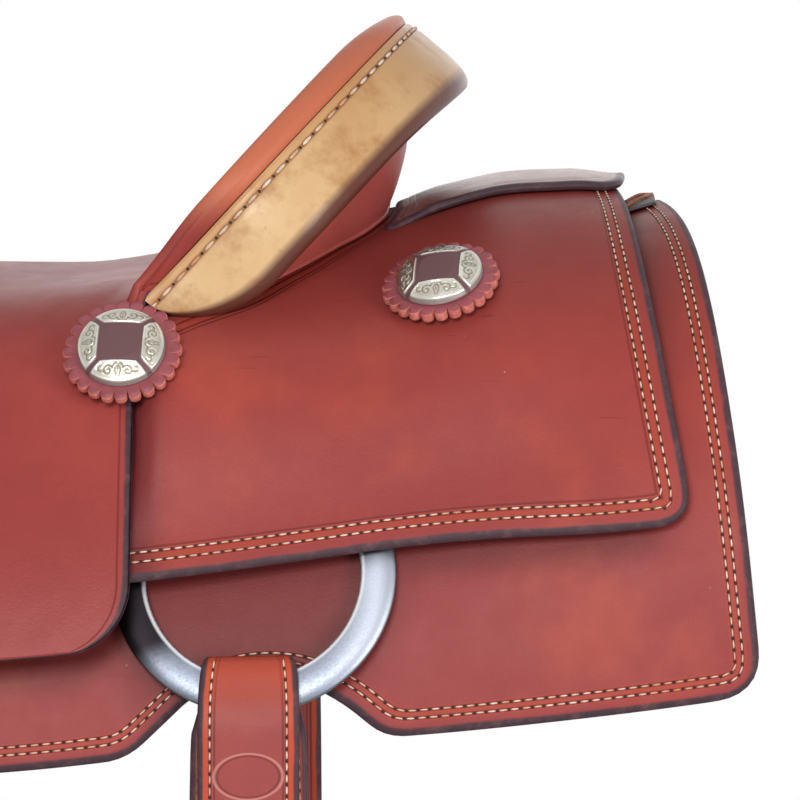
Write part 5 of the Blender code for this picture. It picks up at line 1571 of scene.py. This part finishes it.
class Hang:
    """Down the skirt in a straight line, then bending until it hangs plumb."""

    def __init__(self, side):
        top, bottom = fold_place(HANG_X, side * 175.0), fold_place(HANG_X, side * 282.0)
        start = (bottom - top) / np.linalg.norm(bottom - top)
        self.side = side
        self.angle = math.atan2(-start[2], abs(start[1]))
        self.base = top + start * (HANG_S - 175.0)

    def at(self, down, out, x):
        down, out, x = np.broadcast_arrays(np.asarray(down, float), out, x)
        straight = np.minimum(down, HANG_STRAIGHT)
        bent = np.clip(down - HANG_STRAIGHT, 0.0, HANG_CURVE)
        rate = (math.pi / 2 - self.angle) / HANG_CURVE
        angle = self.angle + rate * bent
        y = straight * math.cos(self.angle) + (np.sin(angle) - math.sin(self.angle)) / rate
        z = -straight * math.sin(self.angle) + (np.cos(angle) - math.cos(self.angle)) / rate
        z = z - np.maximum(down - HANG_STRAIGHT - HANG_CURVE, 0.0)
        y = self.base[1] + self.side * (y + out * np.sin(angle))
        return np.stack([HANG_X + x, y, self.base[2] + z + out * np.cos(angle)], axis=-1)


# %% Fenders, stirrup leathers and stirrups
STACK_INNER, STACK_MIDDLE, STACK_OUTER, BOLT_DROP, LEATHER_HALF = 12.8, 16.9, 21.2, 474.0, 32.0
FENDER_EDGE = [
    (-10, 12), (-8, 24), (6, 35), (40, 56), (90, 76), (150, 88), (210, 90), (270, 80), (330, 60), (385, 35),
]
FENDER_THICK, HOBBLE_THICK, STIRRUP_THICK, LOOP_RADIUS = 3.8, 2.6, 11.0, 12.8


def fender_corners():
    """The fender's outline: its front edge reaches further than its rear edge."""
    front = [(-w, d, 24) for d, w in FENDER_EDGE] + [(-31, 426, 4)]
    rear = [(min(w, 0.74 * w + 3), d, 24) for d, w in FENDER_EDGE] + [(26, 426, 4)]
    return front + rear[::-1]


def stirrup_path():
    """Round the stirrup from ear to ear: along the horse, up, and half its width."""
    ear, flare, half_tread, height = 41.0, 66.0, 65.0, 148.0
    side = [(ear, 14, 15), (ear + 1, -22, 15), (flare - 8, -70, 19), (flare + 1, -112, 22)]
    side += [(half_tread - 8, 14 - height, 24), (half_tread - 20, -height, 26), (0, -height, 26)]
    return [(x, z, -e, e) for x, z, e in side + [(-x, z, e) for x, z, e in side[-2::-1]]]


def fender(word, hang):
    """The wide outer sheet, with the skirts' two rows of stitches along its edge."""
    made, outline = sheet(
        "leather_fender_" + word, fender_corners(), lambda x, _: np.full(np.shape(x), STACK_OUTER + 1.9),
        FENDER_THICK, 1.0, skirt_leather, at=lambda x, d, out: hang.at(d, out, x),
    )
    dress(made, "fender_" + word, "fender_" + word)
    rows = []
    for amount in SKIRT_ROWS:
        line = inset(outline, amount)
        x, down = np.vstack([line, line[:1]]).T
        points = hang.at(down, STACK_OUTER + 2.0, x)
        ups = points - hang.at(down, STACK_OUTER, x)
        rows.append((points, ups / np.linalg.norm(ups, axis=1)[:, None]))
    stitches("fender_stitches_" + word, rows, "fender_" + word)


def stirrup_leather(word, hang):
    """Down behind the fender, round the roller on the stirrup's bolt and up again."""
    path = [(d, STACK_INNER) for d in (-5, 3, 14, 105, 270, 434)]
    path += [(BOLT_DROP - 18, STACK_MIDDLE - 10.5), (BOLT_DROP - 4, STACK_MIDDLE - 12.6)]
    for turn in np.radians(np.linspace(-70, 70, 6)):
        path.append((BOLT_DROP + LOOP_RADIUS * math.cos(turn), STACK_MIDDLE + LOOP_RADIUS * math.sin(turn)))
    path += [(BOLT_DROP - 4, STACK_MIDDLE + 12.6), (BOLT_DROP - 18, STACK_MIDDLE + 10.5)]
    path += [(d, STACK_MIDDLE) for d in (434, 270, 105, 44)]
    wide = [12, 23, 30] + [LEATHER_HALF] * (len(path) - 3)
    path = [(a, b, -w, w) for (a, b), w in zip(path, wide)]
    name = "leather_stirrup_leather_" + word
    made, _ = band(name, path, STRAP_THICK, hang.at, plain_leather, spacing=6.0, soften=2)
    dress(made, "fender_" + word, "stirrup_leather_" + word)


def hobble_strap(word, hang):
    """A strap once round the fender and both layers of the stirrup leather."""
    around = [(-1, -1), (1, -1), (1, 1), (-1, 1), (-1, -1)]
    low, high = STACK_INNER - 5.5, STACK_OUTER + 5.9
    path = [(x * 38.0, (low + high) / 2 + y * (high - low) / 2, 398.0, 424.0) for x, y in around]
    path = [(0.0, low, 398.0, 424.0)] + path[1:4] + [path[0], (-0.1, low, 398.0, 424.0)]
    made, _ = band(
        "leather_hobble_strap_" + word, path, HOBBLE_THICK, lambda a, b, w: hang.at(w, b, a), strap_leather,
        spacing=4.0,
    )
    dress(made, "fender_" + word, "hobble_strap_" + word)


def stirrup(word, bolt):
    made, _ = band(
        "wooden_stirrup_" + word, stirrup_path(), STIRRUP_THICK,
        lambda a, b, w: bolt + np.stack(np.broadcast_arrays(a, w, b), axis=-1), stirrup_wood,
        radius=3.0, spacing=4.0,
    )
    dress(made, "stirrup_" + word, "stirrup_" + word, slot="stirrup_wood")


for side, word in WORDS:
    hang = Hang(side)
    fender(word, hang)
    stirrup_leather(word, hang)
    hobble_strap(word, hang)
    stirrup(word, hang.at(BOLT_DROP, STACK_MIDDLE, 0.0))

# %% [markdown]
# ## Fork, horn and linings
#
# The fork's cover is one wet-moulded leather. A roper's horn has a broad cap and a neck wound with rubber,
# so that the rope grips when it is dallied.


# %% Fork cover
# Each row: share, distance across, height, half thickness, half length, middle along the horse, angle.
FORK_STATIONS = [
    (0.0, 0.0, 148.0, 20.0, 44.0, -325.0, 90.0), (0.2, 38.0, 145.0, 22.0, 43.0, -325.0, 78.0),
    (0.4, 80.0, 131.0, 30.0, 42.0, -324.0, 55.0), (0.6, 110.0, 104.0, 42.0, 42.0, -322.0, 20.0),
    (0.8, 103.0, 74.0, 26.0, 46.0, -323.0, 2.0), (1.0, 106.0, 53.0, 22.0, 54.0, -326.0, -34.0),
]
FORK_CURVES = [curve([(k[0], k[i]) for k in FORK_STATIONS]) for i in range(1, 7)]


def fork_ring(share, grow, segments):
    """A ring round the fork, grown outwards: share is 0 on top and 1 at a point."""
    side = -1.0 if share < 0 else 1.0
    across, up, thick, length, middle, angle = (float(one(abs(share))) for one in FORK_CURVES)
    turn = math.radians(angle)
    a = np.linspace(0, 2 * math.pi, segments, endpoint=False)
    along = np.sign(np.cos(a)) * np.abs(np.cos(a)) ** 0.75 * (length + grow)
    out = np.sign(np.sin(a)) * np.abs(np.sin(a)) ** 0.75 * (thick + grow)
    settled = smoothstep(0.7, 1.0, abs(share)) * (ridge(middle + along) - ridge(middle))
    y, z = side * (across + out * math.cos(turn)), up + out * math.sin(turn) + settled
    return np.stack([middle + along, y, z], axis=1)


def fork_cover():
    """A tube from point to point, open inside for the fork."""
    shares = np.linspace(-1, 1, 121)
    segments = 72
    outer = np.array([fork_ring(s, 4.4, segments) for s in shares])
    inner = np.array([fork_ring(s, 0.8, segments) for s in shares])
    steps = np.linalg.norm(np.diff(outer[:, 0], axis=0), axis=1)
    along = np.concatenate([[0.0], np.cumsum(steps)])
    gap = np.repeat(np.minimum(along, along[-1] - along)[:, None], segments, axis=1).ravel()
    faces = grid_faces(len(shares), segments, close=True)
    count = len(shares) * segments
    faces += [[i + count for i in reversed(face)] for face in faces]
    for row in (0, len(shares) - 1):
        for j in range(segments):
            a, b = row * segments + j, row * segments + (j + 1) % segments
            faces.append([a, b, b + count, a + count])
    points = np.vstack([outer.reshape(-1, 3), inner.reshape(-1, 3)])
    return piece("leather_fork_cover", points, faces, swell_leather, edge=np.concatenate([gap, gap]) + 1.0)


dress(fork_cover(), "saddle", "fork_cover")

# %% Horn
HORN_AXIS = np.array((-0.12, 0.0, 1.0)) / math.hypot(0.12, 1.0)
HORN_FOOT = np.array((-325.0, 0.0, 168.0))
HORN_ACROSS = np.array((0.0, 1.0, 0.0))
HORN_SIDE = np.cross(HORN_AXIS, HORN_ACROSS)


def horn_spot(height, radius, turn):
    """A point round the horn's own axis."""
    outwards = HORN_SIDE * math.cos(turn) + HORN_ACROSS * math.sin(turn)
    return HORN_FOOT + HORN_AXIS * height + outwards * radius


WRAP_LOW, WRAP_HIGH, WRAP_RISE = 9.0, 55.6, 11.2


def horn_wrap():
    """Rubber strip wound in a helix up the neck."""
    rows, segments = 100, 72
    points = []
    for i in range(rows):
        height = WRAP_LOW + (WRAP_HIGH - WRAP_LOW) * i / (rows - 1)
        for j in range(segments):
            angle = 2 * math.pi * j / segments
            phase = ((height - WRAP_LOW) / WRAP_RISE - j / segments) % 1.0
            radius = 26.3 + 1.9 * math.sqrt(max(1 - (2 * phase - 1) ** 4, 0.0))
            radius -= 3.0 * float(smoothstep(3.0, 0.0, min(height - WRAP_LOW, WRAP_HIGH - height)))
            points.append(horn_spot(height, radius, angle))
    return tube("rubber_horn_wrap", points, segments, rubber)


CAP = [
    (0, 76.2), (12, 76.2), (24, 75.9), (31, 75.3), (36, 74.7), (39.5, 73.8), (41.8, 72.3), (42.9, 70.2),
    (43, 67), (42.8, 65.2), (41.6, 63.4), (39, 62.2), (34, 61.0), (31, 60.6), (31, 62.4), (38.4, 64.5),
    (39.1, 68), (38.4, 71.5), (0, 72.5),
]
cap_edge = [max(43.0 - r, 0.0) if h > 70 else 0.5 for r, h in CAP]
dress(horn_wrap(), "saddle", "horn_wrap", slot="rubber")
cap = turned("leather_horn_cap", CAP, HORN_FOOT, HORN_AXIS, swell_leather, 96, edge=cap_edge)
dress(cap, "saddle", "horn_cap")
ring_line = [horn_spot(74.8, 36.4, turn) for turn in np.linspace(0, 2 * math.pi, 120)]
stitches("horn_cap_stitches", [(ring_line, [HORN_AXIS] * len(ring_line))], "saddle")

# %% Sheepskin linings
WOOL_TOP = -7.2

for side, word in WORDS:
    inner = inset(rounded(SKIRT, 6.0), 6.0)
    points, faces = flat_mesh(inner, (0.0, 1.5, 4.0, 8.0), 11.0)
    gap = edge_distance(points, inner)
    x, s = points.T
    pile = 10.2 + 1.6 * np.sin(x * 0.23 + 2.1 * np.sin(s * 0.19)) * np.sin(s * 0.27 + 1.9 * np.sin(x * 0.15))
    draw = edge_round(gap, 9.0, 4.5)
    outer, under = place(x, side * s, WOOL_TOP - draw), place(x, side * s, WOOL_TOP - pile + draw)
    made = two_faced("sheepskin_" + word, outer, under, faces, wool, gap)
    dress(made, "saddle", "fleece_" + word, slot="fleece")

# %% Lace and rope strap
LACE_AT = 245.0
path = [(s, 1.0 + 1.0 * (1 - (s / 26.0) ** 2), -7.0, 7.0) for s in np.linspace(-26, 26, 13)]
made, _ = band(
    "leather_lace_patch", path, 1.6, lambda a, b, w: place(LACE_AT + w, a, b + 0.6), dark_leather,
    spacing=1.5, soften=1,
)
dress(made, "saddle", "skirt_lace", slot="lace")
for start in (-20.0, -6.0, 8.0):
    points = []
    for t in np.linspace(0, 1, 25):
        x, s = 239.5 + 11.5 * t, start + 11.0 * t
        middle = place(x, s, 3.2 + 0.8 * math.sin(math.pi * t))
        for turn in np.linspace(0, 2 * math.pi, 8, endpoint=False):
            points.append(middle + (1.0 * math.cos(turn), 0.0, 0.6 * math.sin(turn)))
    dress(tube("lace_across_" + str(int(start + 21)), points, 8, lace_finish), "saddle", slot="lace")
path = [(157.5, 118), (160.5, 104), (161, 80), (160, 52), (163.5, 48), (167, 52), (167, 80), (166, 106)]
made, shape = band(
    "leather_rope_strap", [(a, b, -338.0, -316.0) for a, b in path], 2.6,
    lambda a, b, w: np.stack(np.broadcast_arrays(w, a, b), axis=-1), strap_leather, soften=2,
)
dress(made, "rope_strap", "rope_strap")

# %% [markdown]
# ## Pieces that stay as solids
#
# The tree, the loops round its bars, the horn's steel and the stirrups' bolts are hidden or plain, so the
# solids stay and only get their finish.

# %% Finish the solids
SOLIDS = {
    "tree_": tree_wood, "ground_seat": filler, "horn": dull_steel, "cantle_roll": filler,
    "leather_loop": plain_leather, "stirrup_bolt": dull_steel, "stirrup_roller": brass,
}
for name, thing in nodes.items():
    for start, finish in SOLIDS.items():
        if name.startswith(start):
            thing.data.materials.clear()
            thing.data.materials.append(finish)

# %% [markdown]
# ## Floor and background

# %% Stage
def backdrop():
    paint = Paint("pale_floor")
    return paint.finish(srgb(238, 238, 238), 0.9)


bm = bmesh.new()
bmesh.ops.create_grid(bm, x_segments=1, y_segments=1, size=2.2)
mesh = bpy.data.meshes.new("floor")
bm.to_mesh(mesh)
bm.free()
mesh.materials.append(backdrop())
floor = bpy.data.objects.new("floor", mesh)
floor.location.z = -0.70
bpy.context.scene.collection.objects.link(floor)

world = bpy.data.worlds.new("studio")
bpy.context.scene.world = world
world.use_nodes = True
sky = world.node_tree
ground = sky.nodes["Background"]
ground.inputs["Color"].default_value = (1.0, 1.0, 1.0, 1.0)
rays = sky.nodes.new("ShaderNodeLightPath")
strength = sky.nodes.new("ShaderNodeMapRange")
seen = rays.outputs["Is Camera Ray"]
for kind in ("Is Glossy Ray", "Is Transmission Ray"):
    either = sky.nodes.new("ShaderNodeMath")
    either.operation = "MAXIMUM"
    sky.links.new(seen, either.inputs[0])
    sky.links.new(rays.outputs[kind], either.inputs[1])
    seen = either.outputs[0]
sky.links.new(seen, strength.inputs["Value"])
strength.inputs["To Min"].default_value = 0.22
strength.inputs["To Max"].default_value = 1.0
sky.links.new(strength.outputs[0], ground.inputs["Strength"])
